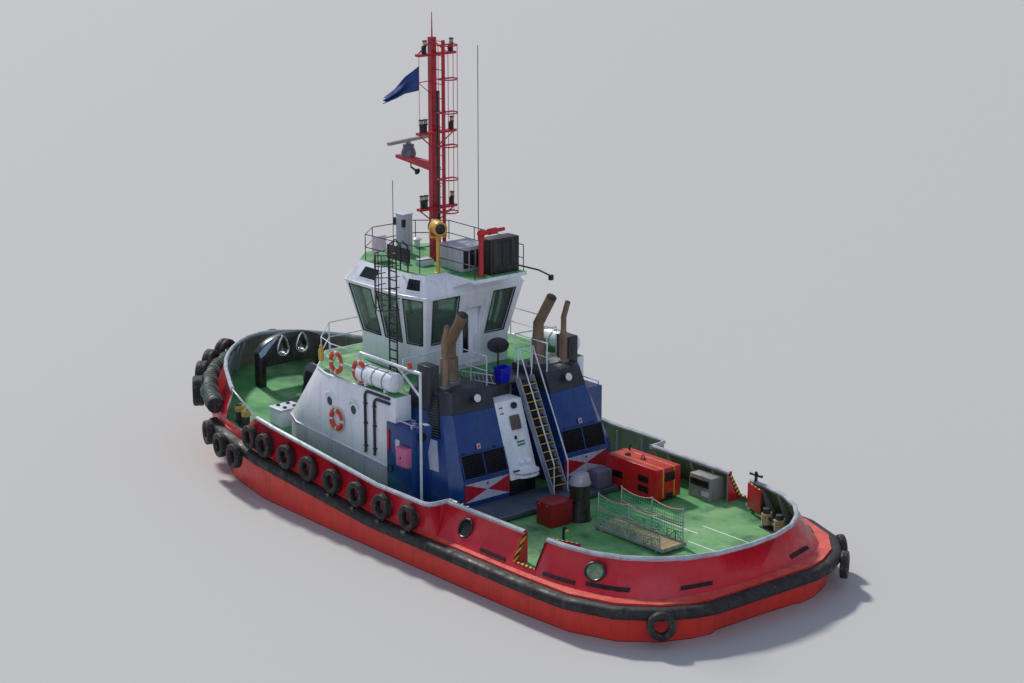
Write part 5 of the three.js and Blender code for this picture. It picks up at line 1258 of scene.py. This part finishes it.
# columns: height of each ring round the bin, how far it stands out from the foot
BIN_RINGS = [(4.655, 0.0), (5.12, 0.05), (5.12, 0.075), (5.17, 0.08), (5.17, 0.05), (4.75, 0.0)]
bin_rings = [[(-1.98 - grow, 0.03 - grow, z), (-1.72 + grow, 0.03 - grow, z),
              (-1.72 + grow, 0.36 + grow, z), (-1.98 - grow, 0.36 + grow, z)] for z, grow in BIN_RINGS]
ladder_rails = [[(-0.60, 1.10, 4.72), (-2.00, 0.62, 4.72)], [(-0.72, 1.22, 5.02), (-2.02, 0.74, 5.02)]]
rungs = [[Vector(a) + (Vector(b) - Vector(a)) * (0.06 + k * 0.11) for a, b in ladder_rails]
         for k in range(9)]
loose_board = [(-0.25, -2.95, 4.70), (-1.55, -2.40, 4.70), (-1.62, -2.16, 4.70), (-0.32, -2.68, 4.70)]
landing_parts = [laid(dish, (-0.36, -0.86, 5.34), (0.63, 0.777, 0.0), (-0.389, 0.315, 0.867)),
                 pipe([[(-0.43, -0.80, 4.66), (-0.43, -0.80, 5.28), (-0.38, -0.84, 5.33)]], 0.028,
                      lamp_black),
                 pipe([[(-0.43, -0.80, 5.10), (-0.10, -1.06, 5.12), (-0.05, -1.10, 5.30)]], 0.014,
                      lamp_black),
                 block((-0.53, -0.90, 4.66), (-0.33, -0.70, 4.69), lamp_black),
                 swept("blue_bin", bin_rings, bin_blue),
                 pipe(ladder_rails, 0.022, board_pale),
                 pipe(rungs, 0.014, board_pale, round_steps=1),
                 slab(loose_board, 0.03, [board_pale])]
fitted(landing_parts, "landing_fittings")


# Stair. Grey bolted stringers with white pipe handrails, black checker plate
# treads with yellow nosings, and a black sheet behind the flight, painted shade
# for the dark gaps between the treads.

stair_grey = paint("stair_grey_paint", "9ba3b2", "8790a0", "5c4a3c", wear=0.5, gloss=0.4, patch=3.0)
tread_black = paint("tread_black", "19191b", "242426", "5b5346", wear=0.6, gloss=0.6)
nosing_yellow = paint("nosing_yellow", "e8b624", "d6a51e", "4c4028", wear=0.7, gloss=0.5, patch=6.0)
rail_white = paint("rail_white_paint", "dde0e6", "cdd0d6", "7a6350", wear=0.5, gloss=0.35, patch=3.0)


def stair_coat(centre, normal):
    """Handrail, tread or stringer, by the place of a face beside the slope of the flight."""
    rise = (centre.x + 4.08) / 1.73
    line = 1.42 + rise * 3.48
    if centre.z > line + 0.24 or (centre.x > -2.5 and centre.z > 4.9):
        return 3
    if abs(centre.y + 0.325) < 0.27:
        return 2 if normal.x < -0.5 else 1
    return 0


welded("aft_stair", "aft_stair_flight",
       [stair_grey, tread_black, nosing_yellow, rail_white], which=stair_coat)
# A black sheet under the treads, painted shade for the gaps between them.
stair_shade_sheet = [(-3.90, -0.60, 1.425), (-3.90, -0.05, 1.425), (-2.26, -0.05, 4.72), (-2.26, -0.60, 4.72)]
fitted([slab(stair_shade_sheet, 0.012, [tread_black])], "stair_painted_shade_sheet")


# Guard rails. Thin pipe welded to flat posts, white round the bridge deck and
# black round the wheelhouse roof.

rail_black = paint("rail_black_paint", "1a1a1c", "262628", "6a5444", wear=0.5, gloss=0.4, patch=3.0)
welded("bridge_rails", "bridge_rail_pipes", [rail_white])
for side in ("port", "starboard"):
    welded(f"{side}_casing_rails", f"{side}_casing_rail_pipes", [rail_white])
welded("roof_rails", "roof_rail_pipes", [rail_black])


# Mast. Square steel column and a ladder post with rungs and a hooped cage,
# all in red, carrying lamps on three arms and a bracket for the radar.

mast_red = paint("mast_red_paint", "c01f30", "a82634", "4d1518", wear=0.5, gloss=0.35, patch=1.4)


def mast_coat(centre, normal):
    """Black on the lamps over each arm, grey on the radar's gearbox, red elsewhere."""
    for arm in (14.78, 12.25, 9.77):
        if arm + 0.041 < centre.z < arm + 0.29 and 0.3 < abs(centre.y) < 0.78 and centre.x > 1.55:
            return 1
    return 2 if 11.26 < centre.z < 11.66 and centre.x > 2.9 else 0


gearbox_grey = paint("gearbox_grey", "55505e", "6a6672", "3a3434", gloss=0.3, patch=4.0)
welded("mast", "mast_steelwork", [mast_red, lamp_black, gearbox_grey], which=mast_coat)
scanner_pale = paint("scanner_pale", "a09a98", "8d8684", "5a4a42", gloss=0.35)
welded("radar_scanner", "radar_scanner_bar", [scanner_pale], edge=0.02)


# Mast fittings. A black cable tray between the column and its ladder post,
# lanterns on the arms, a horn under the radar shelf and whip aerials in black.

lantern_beige = paint("lantern_beige", "b9a27e", "a8926e", "5b4a36", gloss=0.3, patch=5.0)
mast_parts = [block((1.58, -0.05, 8.3), (1.66, 0.05, 13.6), lamp_black, 0.006)]
mast_parts += [block((1.56, -0.065, z), (1.68, 0.065, z + 0.03), lamp_black, 0.004)
               for z in [8.6 + k * 0.62 for k in range(8)]]
lantern = [(0.0, 0.0), (0.075, 0.0), (0.075, 0.05), (0.06, 0.06), (0.06, 0.15), (0.08, 0.16),
           (0.08, 0.19), (0.0, 0.20)]
lens = [(0.0, 0.055), (0.066, 0.055), (0.066, 0.155), (0.0, 0.155)]
# columns: height of each arm, places of its lanterns across the boat
for arm, ys in ((14.82, (-0.6, 0.48)), (12.29, (-0.6, 0.48, 0.66)), (9.81, (-0.6, 0.48, 0.66))):
    for y in ys:
        mast_parts += [stood(turned("lantern", lantern, 20, lamp_black), (1.66, y, arm + 0.24)),
                       stood(turned("lantern_lens", lens, 20, lantern_beige), (1.66, y, arm + 0.24)),
                       block((1.62, y - 0.04, arm - 0.03), (1.70, y + 0.04, arm + 0.26), lamp_black,
                             0.01)]
dome = turned("gearbox_dome", [(0.0, 0.0), (0.24, 0.0), (0.25, 0.10), (0.21, 0.24), (0.12, 0.32),
                               (0.0, 0.34)], 28, gearbox_grey)
horn = turned("horn", [(0.0, 0.0), (0.03, 0.0), (0.035, 0.2), (0.06, 0.3), (0.11, 0.36), (0.10, 0.365),
                       (0.0, 0.30)], 20, lamp_black)
aerial_feet = [[(0.57, -0.81, 8.02), (0.57, -0.81, 8.6)], [(3.3, 0.6, 8.02), (3.3, 0.6, 8.5)]]
arm_braces = [[(1.9, 0.62, 14.75), (1.9, 0.1, 15.15)], [(1.9, -0.62, 14.75), (1.9, -0.1, 15.15)],
              [(1.7, 0.7, 12.21), (1.8, 0.1, 11.75)], [(1.7, -0.7, 12.21), (1.8, -0.1, 11.75)],
              [(1.7, 0.7, 9.73), (1.8, 0.1, 9.3)], [(1.7, -0.7, 9.73), (1.8, -0.1, 9.3)]]
mast_parts += [stood(dome, (3.2, 0.0, 11.26)),
               laid(horn, (3.0, 0.06, 10.93), (0.0, 1.0, 0.0), (0.3, 0.0, -1.0)),
               pipe([[(3.0, 0.06, 10.92), (3.0, 0.06, 11.22)]], 0.022, lamp_black),
               pipe([[(0.57, -0.81, 8.02), (0.57, -0.81, 15.1)]], 0.012, lamp_black, round_steps=1),
               pipe([[(3.3, 0.6, 8.02), (3.3, 0.6, 10.5)]], 0.012, lamp_black, round_steps=1),
               pipe(aerial_feet, 0.026, lamp_black),
               pipe(arm_braces, 0.022, mast_red)]
fitted(mast_parts, "mast_fittings", angle=40.0)


# Wheelhouse roof gear. Searchlight in yellow and fire monitor in red, each on
# its post, and a pale tank and cabinet, a black locker and a blank white
# board bolted down to the roof.

lamp_yellow = paint("lamp_yellow_paint", "d9a93a", "c99a34", "6b5228", wear=0.5, gloss=0.35, patch=3.0)
signal_red = paint("signal_red_paint", "cf1e26", "b92a2a", "5a1a18", wear=0.45, gloss=0.3, patch=2.0)
pale_panel = paint("pale_panel_paint", "b9bac2", "a6a7b0", "6f6258", wear=0.4, gloss=0.4)
locker_black = paint("locker_black_paint", "1c1b20", "2a282c", "5b5048", gloss=0.45)
board_white = paint("board_white_paint", "e6d4dc", "d9c8d0", "a08088", gloss=0.35)
# columns: solid, name, slot, coat, rounding of the edges
ROOF_GEAR = [("searchlight_post", "searchlight_stand", "yellow", lamp_yellow, 0.01),
             ("searchlight", "searchlight_drum", "yellow", lamp_yellow, 0.01),
             ("monitor_post", "monitor_riser", "signal_red", signal_red, 0.012),
             ("fire_monitor", "fire_monitor_barrel", "signal_red", signal_red, 0.01),
             ("roof_tank", "roof_tank_box", "pale_grey", pale_panel, 0.04),
             ("roof_locker", "roof_locker_box", "black", locker_black, 0.02),
             ("roof_cabinet", "roof_cabinet_box", "pale_grey", pale_panel, 0.02),
             ("roof_board", "roof_board_sheet", "white", board_white, 0.004)]
for node, name, slot, coat, edge in ROOF_GEAR:
    welded(node, name, [coat], edge=edge)


# Small roof gear. Vents, junction boxes, a lens on the searchlight, loudhailer
# horns, lamps on the cabinet and panels laced to the guard rail.

gear_white = paint("gear_white", "d4d6dc", "c2c4cc", "7d7468", wear=0.3, gloss=0.35, patch=3.0)
roof_parts = [block((1.25, 0.50, 8.0), (1.60, 1.0, 8.22), gear_white, 0.02),
              block((1.30, -1.2, 8.0), (1.75, -0.7, 8.30), gear_white, 0.02),
              block((2.25, -1.15, 8.0), (2.7, -0.65, 8.42), gear_white, 0.03),
              block((3.46, 0.30, 8.95), (3.56, 0.42, 9.2), lamp_black, 0.01),
              block((2.96, 0.33, 8.95), (3.06, 0.45, 9.2), lamp_black, 0.01),
              block((3.02, -0.05, 9.33), (3.48, 0.41, 9.37), gear_white, 0.01)]
# columns: x, y, radius, height of each mushroom vent
VENTS = [(2.1, 1.1, 0.09, 0.42), (2.55, 0.9, 0.07, 0.36), (2.0, -1.3, 0.12, 0.30), (0.2, -1.3, 0.08, 0.5),
         (3.7, -0.7, 0.10, 0.34)]
for x, y, radius, high in VENTS:
    cap = turned("mushroom_vent", [(0.0, 0.0), (radius, 0.0), (radius, high * 0.7),
                                   (radius * 1.6, high * 0.74), (radius * 1.6, high * 0.84),
                                   (radius * 0.9, high), (0.0, high * 1.04)], 24, gear_white)
    roof_parts.append(stood(cap, (x, y, 8.0)))
roof_parts += [block((-0.26, y - 0.1, 8.12), (-0.245, y + 0.1, 8.70), locker_black, 0.01)
               for y in (-0.40, -0.14, 0.12, 0.38)]
roof_parts += [block((-1.135, -1.08, z), (-1.118, 0.02, z + 0.03), lamp_black, 0.004)
               for z in (8.2, 8.45, 8.7, 8.95)]
roof_parts += [block((-1.14, y, 8.25), (-1.115, y + 0.28, 9.05), locker_black, 0.02)
               for y in (-1.05, -0.69, -0.33)]
roof_parts.append(block((1.0, 1.66, 8.25), (2.2, 1.70, 8.72), locker_black, 0.01))
fitted(roof_parts, "roof_fittings")
lens = turned("searchlight_lens", [(0.0, 0.0), (0.225, 0.0), (0.225, 0.03), (0.0, 0.06)], 32, port_glass)
rim = turned("searchlight_rim", [(0.215, 0.0), (0.245, 0.0), (0.25, 0.045), (0.22, 0.05)], 32, lamp_black)
back = turned("searchlight_back", [(0.0, 0.0), (0.17, 0.0), (0.15, 0.05), (0.07, 0.08), (0.0, 0.09)], 28,
              lamp_black)
front = Vector((math.cos(math.radians(-20.0)), math.sin(math.radians(-20.0)), 0.0))
across = front.cross(UP)
head = Vector((0.3, 1.08, 9.47))
light_parts = [laid(lens, head + front * 0.232, -across, UP),
               laid(rim, head + front * 0.225, -across, UP),
               laid(back, head - front * 0.27, across, UP)]
fitted(light_parts, "searchlight_glass", body="searchlight")


# Life rafts and the frame beside the port one. Moulded white canisters
# strapped into cradles, a frame of white pipe over the port rail with an
# orange beacon on it, and a yellow canister on the rail.

raft_white = paint("raft_gelcoat", "eceef2", "dfe0e4", "9a9088", wear=0.2, gloss=0.25, patch=1.6)
for side in ("port", "starboard"):
    welded(f"{side}_liferaft", f"{side}_raft_canister", [raft_white], edge=0.03)
welded("port_frame", "port_frame_pipes", [rail_white])
raft_band = paint("raft_band", "8f9298", "7c7f86", "4a4642", gloss=0.5, patch=6.0)
# half breadth and height of the canisters' axes
RAFT_Y, RAFT_Z = 3.7, 5.05
raft_parts = []
for side in (1, -1):
    for x in (-0.52, 0.02, 0.54):
        band = turned("raft_band", [(0.318, -0.025), (0.328, -0.025), (0.328, 0.025), (0.318, 0.025)], 36,
                      raft_band)
        raft_parts.append(laid(band, (x, RAFT_Y * side, RAFT_Z), (0.0, 1.0, 0.0), UP))
    for x, turn_to in ((0.875, 1.0), (-0.845, -1.0)):
        cap = turned("raft_end", [(0.0, 0.0), (0.31, 0.0), (0.30, 0.03), (0.20, 0.07), (0.0, 0.085)], 36,
                     raft_white)
        raft_parts.append(laid(cap, (x, RAFT_Y * side, RAFT_Z), (0.0, turn_to, 0.0), UP))
    seam = [(-0.83, RAFT_Y * side, RAFT_Z + 0.33), (0.86, RAFT_Y * side, RAFT_Z + 0.33)]
    raft_parts.append(pipe([seam], 0.012, raft_band))
fitted(raft_parts, "raft_bands")
beacon = turned("frame_beacon", [(0.0, 0.0), (0.07, 0.0), (0.075, 0.12), (0.05, 0.19), (0.0, 0.20)], 20,
                buoy_orange)
yellow_can = turned("rail_canister", [(0.0, 0.0), (0.07, 0.0), (0.09, 0.06), (0.09, 0.36), (0.05, 0.44),
                                      (0.05, 0.52), (0.0, 0.53)], 20, lamp_yellow)
fitted([stood(beacon, (-1.63, 3.75, 5.70)), stood(yellow_can, (3.23, 3.66, 4.92))], "rail_beacons")


# Aft deck gear. A red sprayed canopy over the generator, a darker red chest, a
# grey locker, a tank under purple coated cloth, a black towing post with a
# grey hood, and a gangway of welded aluminium left on deck.

cover_grey = paint("cover_grey", "9b97a2", "b0acb4", "5b5550", wear=0.4, gloss=0.35, patch=3.0,
                   metal=0.3)
tank_purple = paint("tank_purple", "5b4f66", "6a5d72", "2b2530", gloss=0.6, patch=2.4)
galvanised = paint("galvanised", "a9aaa6", "c0c0bc", "5f5a50", wear=0.4, gloss=0.42, patch=6.0,
                   metal=0.5)
generator_red = paint("generator_red_paint", "cf1d1c", "bd2822", "5a1512", wear=0.2, gloss=0.3,
                      patch=1.2)
welded("generator", "generator_canopy", [generator_red], edge=0.03)
chest_red = paint("chest_red_paint", "8e1016", "7c1a1c", "3a0c0c", wear=0.4, gloss=0.35)
welded("deck_chest", "deck_chest_box", [chest_red], edge=0.03)
welded("side_locker", "side_locker_box", [bulwark_grey], edge=0.02)
welded("platform_tank", "platform_tank_box", [tank_purple], edge=0.03)


def post_coat(centre, normal):
    """The grey hood on top, black below it."""
    return 1 if centre.z > 2.36 else 0


welded("towing_post", "towing_post_drum", [bitt_black, cover_grey], edge=0.015, which=post_coat)
welded("gangway", "gangway_frame", [galvanised], edge=0.008)


# Deck gear fittings. Yellow lifting straps over the generator's canopy, black
# vents and a control window, a lifting eye and a round hatch on top, clasps on
# the chest and a gooseneck vent pipe.

strap_yellow = paint("strap_yellow", "d6b02c", "c49c2a", "6a5426", wear=0.5, patch=5.0)
generator_parts = []
for y in (-2.58, -3.06):
    generator_parts += [block((-6.44, y - 0.022, 2.296), (-4.04, y + 0.022, 2.308), strap_yellow, 0.003),
                        block((-6.442, y - 0.022, 1.35), (-6.428, y + 0.022, 2.305), strap_yellow, 0.003)]
# columns: x and height of each louvred vent on the inboard side
CANOPY_VENTS = [(-5.80, 1.88), (-5.80, 1.55), (-4.6, 1.75)]
generator_parts += [block((x - 0.24, -2.312, z - 0.11), (x + 0.24, -2.298, z + 0.11), louvre_black, 0.01)
                    for x, z in CANOPY_VENTS]
generator_parts += [block((x - 0.22, -2.30, z - 0.08 + k * 0.045),
                          (x + 0.22, -2.286, z - 0.065 + k * 0.045), lamp_black, 0.003)
                    for x, z in CANOPY_VENTS for k in range(4)]
generator_parts += [block((-6.444, -3.08, 1.86), (-6.426, -2.66, 2.16), louvre_black, 0.01),
                    block((-6.444, -3.0, 1.28), (-6.426, -2.70, 1.46), louvre_black, 0.01)]
generator_parts += [block((x - 0.006, -3.36, 1.22), (x + 0.006, -2.305, 2.27), generator_red, 0.002)
                    for x in (-5.65, -4.85)]
hatch = turned("filler_hatch", [(0.0, 0.0), (0.10, 0.0), (0.10, 0.03), (0.07, 0.06), (0.0, 0.065)], 24,
               lamp_black)
eye = [(-5.25 + math.cos(t) * 0.07, -2.82, 2.37 + math.sin(t) * 0.07)
       for t in [k * math.tau / 16 for k in range(17)]]
generator_parts += [stood(hatch, (-4.6, -2.75, 2.30)),
                    pipe([eye], 0.016, lamp_black),
                    block((-5.36, -2.86, 2.297), (-5.14, -2.78, 2.32), lamp_black, 0.006),
                    pipe([[(-4.3, -3.1, 2.28), (-4.3, -3.1, 2.42), (-4.38, -3.1, 2.5)]], 0.035,
                         lamp_black)]
# clasps and lid of the chest, vent and plate of the side locker
generator_parts += [block((x, 1.70, 1.86), (x + 0.05, 1.765, 1.91), galvanised, 0.006)
                    for x in (-5.87, -5.51)]
generator_parts += [block((-6.07, 0.85, 1.90), (-5.31, 1.77, 1.965), chest_red, 0.02),
                    block((-7.30, -3.735, 1.62), (-6.5, -3.70, 1.86), louvre_black, 0.02),
                    block((-7.32, -3.728, 1.33), (-7.0, -3.708, 1.50), board_pale, 0.003)]
gooseneck = [(-7.13, 2.21, 1.21), (-7.13, 2.21, 1.45), (-7.15, 2.215, 1.58), (-7.22, 2.24, 1.68),
             (-7.31, 2.27, 1.70), (-7.38, 2.29, 1.64)]
generator_parts += [pipe([eased(gooseneck, 4)], 0.04, lamp_black, round_steps=3),
                    pipe([[(-7.36, 2.285, 1.66), (-7.41, 2.30, 1.60)]], 0.046, strap_yellow)]
fitted(generator_parts, "deck_gear_fittings")


# Gangway planks, trusses, hand ropes and nets. Weathered boards on an
# aluminium frame, braced sides, laid ropes drawn taut through the posts and a
# green safety net tied below them.

plank_tan = paint("plank_wood", "a08a68", "b8a484", "5c4a34", wear=0.4, patch=3.0, run=0.1, gloss=0.8,
                  grain=26.0)
rope_pink = paint("rope_pink", "c48e82", "d8a79a", "7a5248", wear=0.4, patch=8.0, gloss=0.85,
                  grain=60.0)
net_green = paint("net_green", "3fae74", "5cc08a", "1d5a40", wear=0.3, patch=6.0, gloss=0.8)
walk_parts = [block((-9.88 + k * 0.185, -0.20, 1.345), (-9.71 + k * 0.185, 0.70, 1.372), plank_tan, 0.006)
              for k in range(16)]
# x of the gangway's posts, at its ends and middle, and the length of a truss bay
AFT_END, MIDDLE, FORE_END, BAY = -9.75, -8.40, -7.05, 0.3375
truss = []
for y in (-0.235, 0.735):
    truss.append([(-9.9, y, 1.36), (-6.9, y, 1.36)])
    truss.append([(AFT_END, y, 1.62), (FORE_END, y, 1.62)])
    for k in range(9):
        x = AFT_END + k * BAY
        truss.append([(x, y, 1.3), (x, y, 1.62)])
        if k < 8:
            truss.append([(x, y, 1.62 if k % 2 else 1.32), (x + BAY, y, 1.32 if k % 2 else 1.62)])
walk_parts.append(pipe(truss, 0.016, galvanised, round_steps=1))
hand_ropes, cells = [], []
for y in (-0.225, 0.725):
    for z, sag in ((2.38, 0.10), (1.98, 0.08)):
        for a, b in ((AFT_END, MIDDLE), (MIDDLE, FORE_END)):
            hand_ropes.append([(a + (b - a) * k / 12, y, z - sag * (1.0 - (2.0 * k / 12 - 1.0) ** 2))
                               for k in range(13)])
    for k in range(28):
        x = AFT_END + 0.1 * k
        part = ((x - AFT_END) % 1.35) / 1.35
        top = 2.36 - 0.10 * (1.0 - (2.0 * part - 1.0) ** 2)
        cells.append([(x, y, 1.38), (x, y, top)])
    for k in range(9):
        z = 1.44 + 0.1 * k
        cells.append([(AFT_END, y, z), (-9.08, y, z - 0.015), (MIDDLE, y, z), (-7.72, y, z - 0.015),
                      (FORE_END, y, z)])
walk_parts.append(pipe(hand_ropes, 0.017, rope_pink))
walk_parts.append(pipe(cells, 0.009, net_green, round_steps=0))
fitted(walk_parts, "gangway_fittings")


# Fore deck gear. Black steel towing staple and winch frame, the frame's black
# also painted shade for the shadow that the staple and bow bulwark cast over it,
# a grey winch drum that turns on its shaft, and a white locker, all welded down
# to the deck.

staple_black = paint("staple_black_paint", "1a1b20", "26272c", "6b5a48", wear=0.5, gloss=0.3, patch=1.5)
welded("tow_staple", "tow_staple_plate", [staple_black], edge=0.04)
# The winch frame's black also paints in the shade cast over it by the staple and bow bulwark.
welded("winch_frame", "winch_frame_plates", [staple_black], edge=0.015)
drum_grey = paint("drum_grey_paint", "5a5f68", "6b7078", "5a4636", wear=0.6, gloss=0.4)
welded("winch_drum", "winch_drum_barrel", [drum_grey], edge=0.012)
welded("fore_locker", "fore_locker_box", [house_white], edge=0.02)


# Fore deck fittings. Polished steel lips round the towline eyes, a pale wear
# pad on the staple, rope on the winch drum, and a vented lid on the locker.

lip_silver = paint("lip_silver", "b8bcc0", "d0d2d4", "6a655c", wear=0.3, gloss=0.18, patch=5.0,
                   metal=0.9)
pad_blue = paint("pad_blue_paint", "9db2c8", "8fa6bf", "5f6a74", wear=0.4, gloss=0.35)
rope_blue = paint("towline_rope", "8e8f86", "a3a394", "55534a", wear=0.5, patch=8.0, gloss=0.85,
                  bump=0.7, grain=60.0)
fore_parts = []
for side in (1, -1):
    for x in (10.235, 10.565):
        ring = []
        for k in range(41):
            t = k * math.tau / 40
            tall = 0.46 if math.cos(t) > 0.0 else 0.245
            ring.append((x, 0.41 * side + math.sin(t) * 0.245 * (1.0 - 0.35 * max(0.0, math.cos(t))),
                         3.31 + math.cos(t) * tall))
        fore_parts.append(pipe([ring], 0.04, lip_silver, round_steps=3))
# the staple's curved shoulder, and the lower edge of the pad that is worn on it
shoulder = [(1.45, 3.29), (1.31, 3.43), (1.17, 3.54), (1.0, 3.63), (0.82, 3.71), (0.64, 3.765)]
shoulder += [(0.80, 3.60), (1.0, 3.44), (1.2, 3.22), (1.40, 3.12)]
fore_parts += [slab([(10.235, y, z) for y, z in shoulder], 0.03, [pad_blue]),
               block((6.37, 2.22, 2.325), (7.15, 3.18, 2.40), gear_white, 0.02)]
lid_vent = [(0.0, 0.0), (0.07, 0.0), (0.075, 0.04), (0.05, 0.06), (0.0, 0.06)]
fore_parts += [stood(turned("lid_vent", lid_vent, 20, locker_black), (x, y, 2.395))
               for y in (2.5, 2.9) for x in (6.55, 6.95)]
fitted(fore_parts, "fore_deck_fittings")
# x and height of the drum's axle, turns in a layer of rope, points in a turn
AXLE_X, AXLE_Z, TURNS, POINTS = 7.7, 2.75, 24, 20
drum_turns = []
for layer in range(2):
    reach = 0.455 + layer * 0.055
    coil = []
    for k in range(TURNS * POINTS + 1):
        t = k / POINTS
        y = -0.78 + 1.56 * (t / TURNS if layer == 0 else 1.0 - t / TURNS)
        coil.append((AXLE_X + math.cos(t * math.tau) * reach, y, AXLE_Z + math.sin(t * math.tau) * reach))
    drum_turns.append(coil)
drum_rope = pipe(drum_turns, 0.034, rope_blue, round_steps=1)
fitted([drum_rope], "winch_rope_turns", body="winch_drum", angle=60.0)


# Thrusters and propellers. Each leg and nozzle is in antifouling and turns
# under the stern. The propeller is cast bronze, polished by the water.

prop_bronze = paint("propeller_bronze", "c09a52", "a8803c", "5e6a4a", wear=0.5, gloss=0.25, patch=3.0,
                    metal=0.9)
for side in ("port", "starboard"):
    welded(f"{side}_thruster", f"{side}_thruster_leg", [antifouling], edge=0.015)
    welded(f"{side}_propeller", f"{side}_propeller_casting", [prop_bronze])


# Flag. Plain blue bunting, a thin woven cloth tied to the port halyard along
# its hoist and hanging in deep folds towards the fly.

bunting = paint("flag_bunting", "223f74", "2b4d84", "15264a", wear=0.1, patch=4.0, run=0.1, gloss=0.8,
                bump=0.4, grain=90.0)
bpy.ops.object.select_all(action="DESELECT")
bpy.ops.mesh.primitive_grid_add(x_subdivisions=36, y_subdivisions=28, size=1.0, location=(0.0, 0.0, 0.0))
flag_cloth = bpy.context.object
# columns: distance out from the halyard, height of the upper edge, of the lower edge
FLAG_EDGES = [(0.012, 14.43, 13.65), (0.5, 14.12, 13.58), (0.95, 13.78, 13.46), (1.36, 13.54, 13.34)]
for corner in flag_cloth.data.vertices:
    along, down = corner.co.x + 0.5, 0.5 - corner.co.y
    row = min(2, int(along * 3.0))
    t = along * 3.0 - row
    out, high, low = [a + (b - a) * t for a, b in zip(FLAG_EDGES[row], FLAG_EDGES[row + 1])]
    # two folds take up what the hoist of 0.78 m loses as the edges draw together
    deep = math.sqrt(max(0.0, 0.78 ** 2 - (high - low) ** 2)) / 7.6
    fold = math.sin(down * math.tau * 2.0 + along * 2.5) * deep + 0.05 * math.sin(along * 7.0)
    corner.co = (1.79 + fold * min(1.0, along * 3.0), 0.62 + out, high + (low - high) * down)
alone(flag_cloth)
flag_cloth.data.materials.append(bunting)
hem = flag_cloth.modifiers.new("hem", "SOLIDIFY")
hem.thickness = 0.003
hem.offset = 0.0
bpy.ops.object.modifier_apply(modifier="hem")
fitted([flag_cloth], "flag_cloth", angle=60.0)
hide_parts("flag")
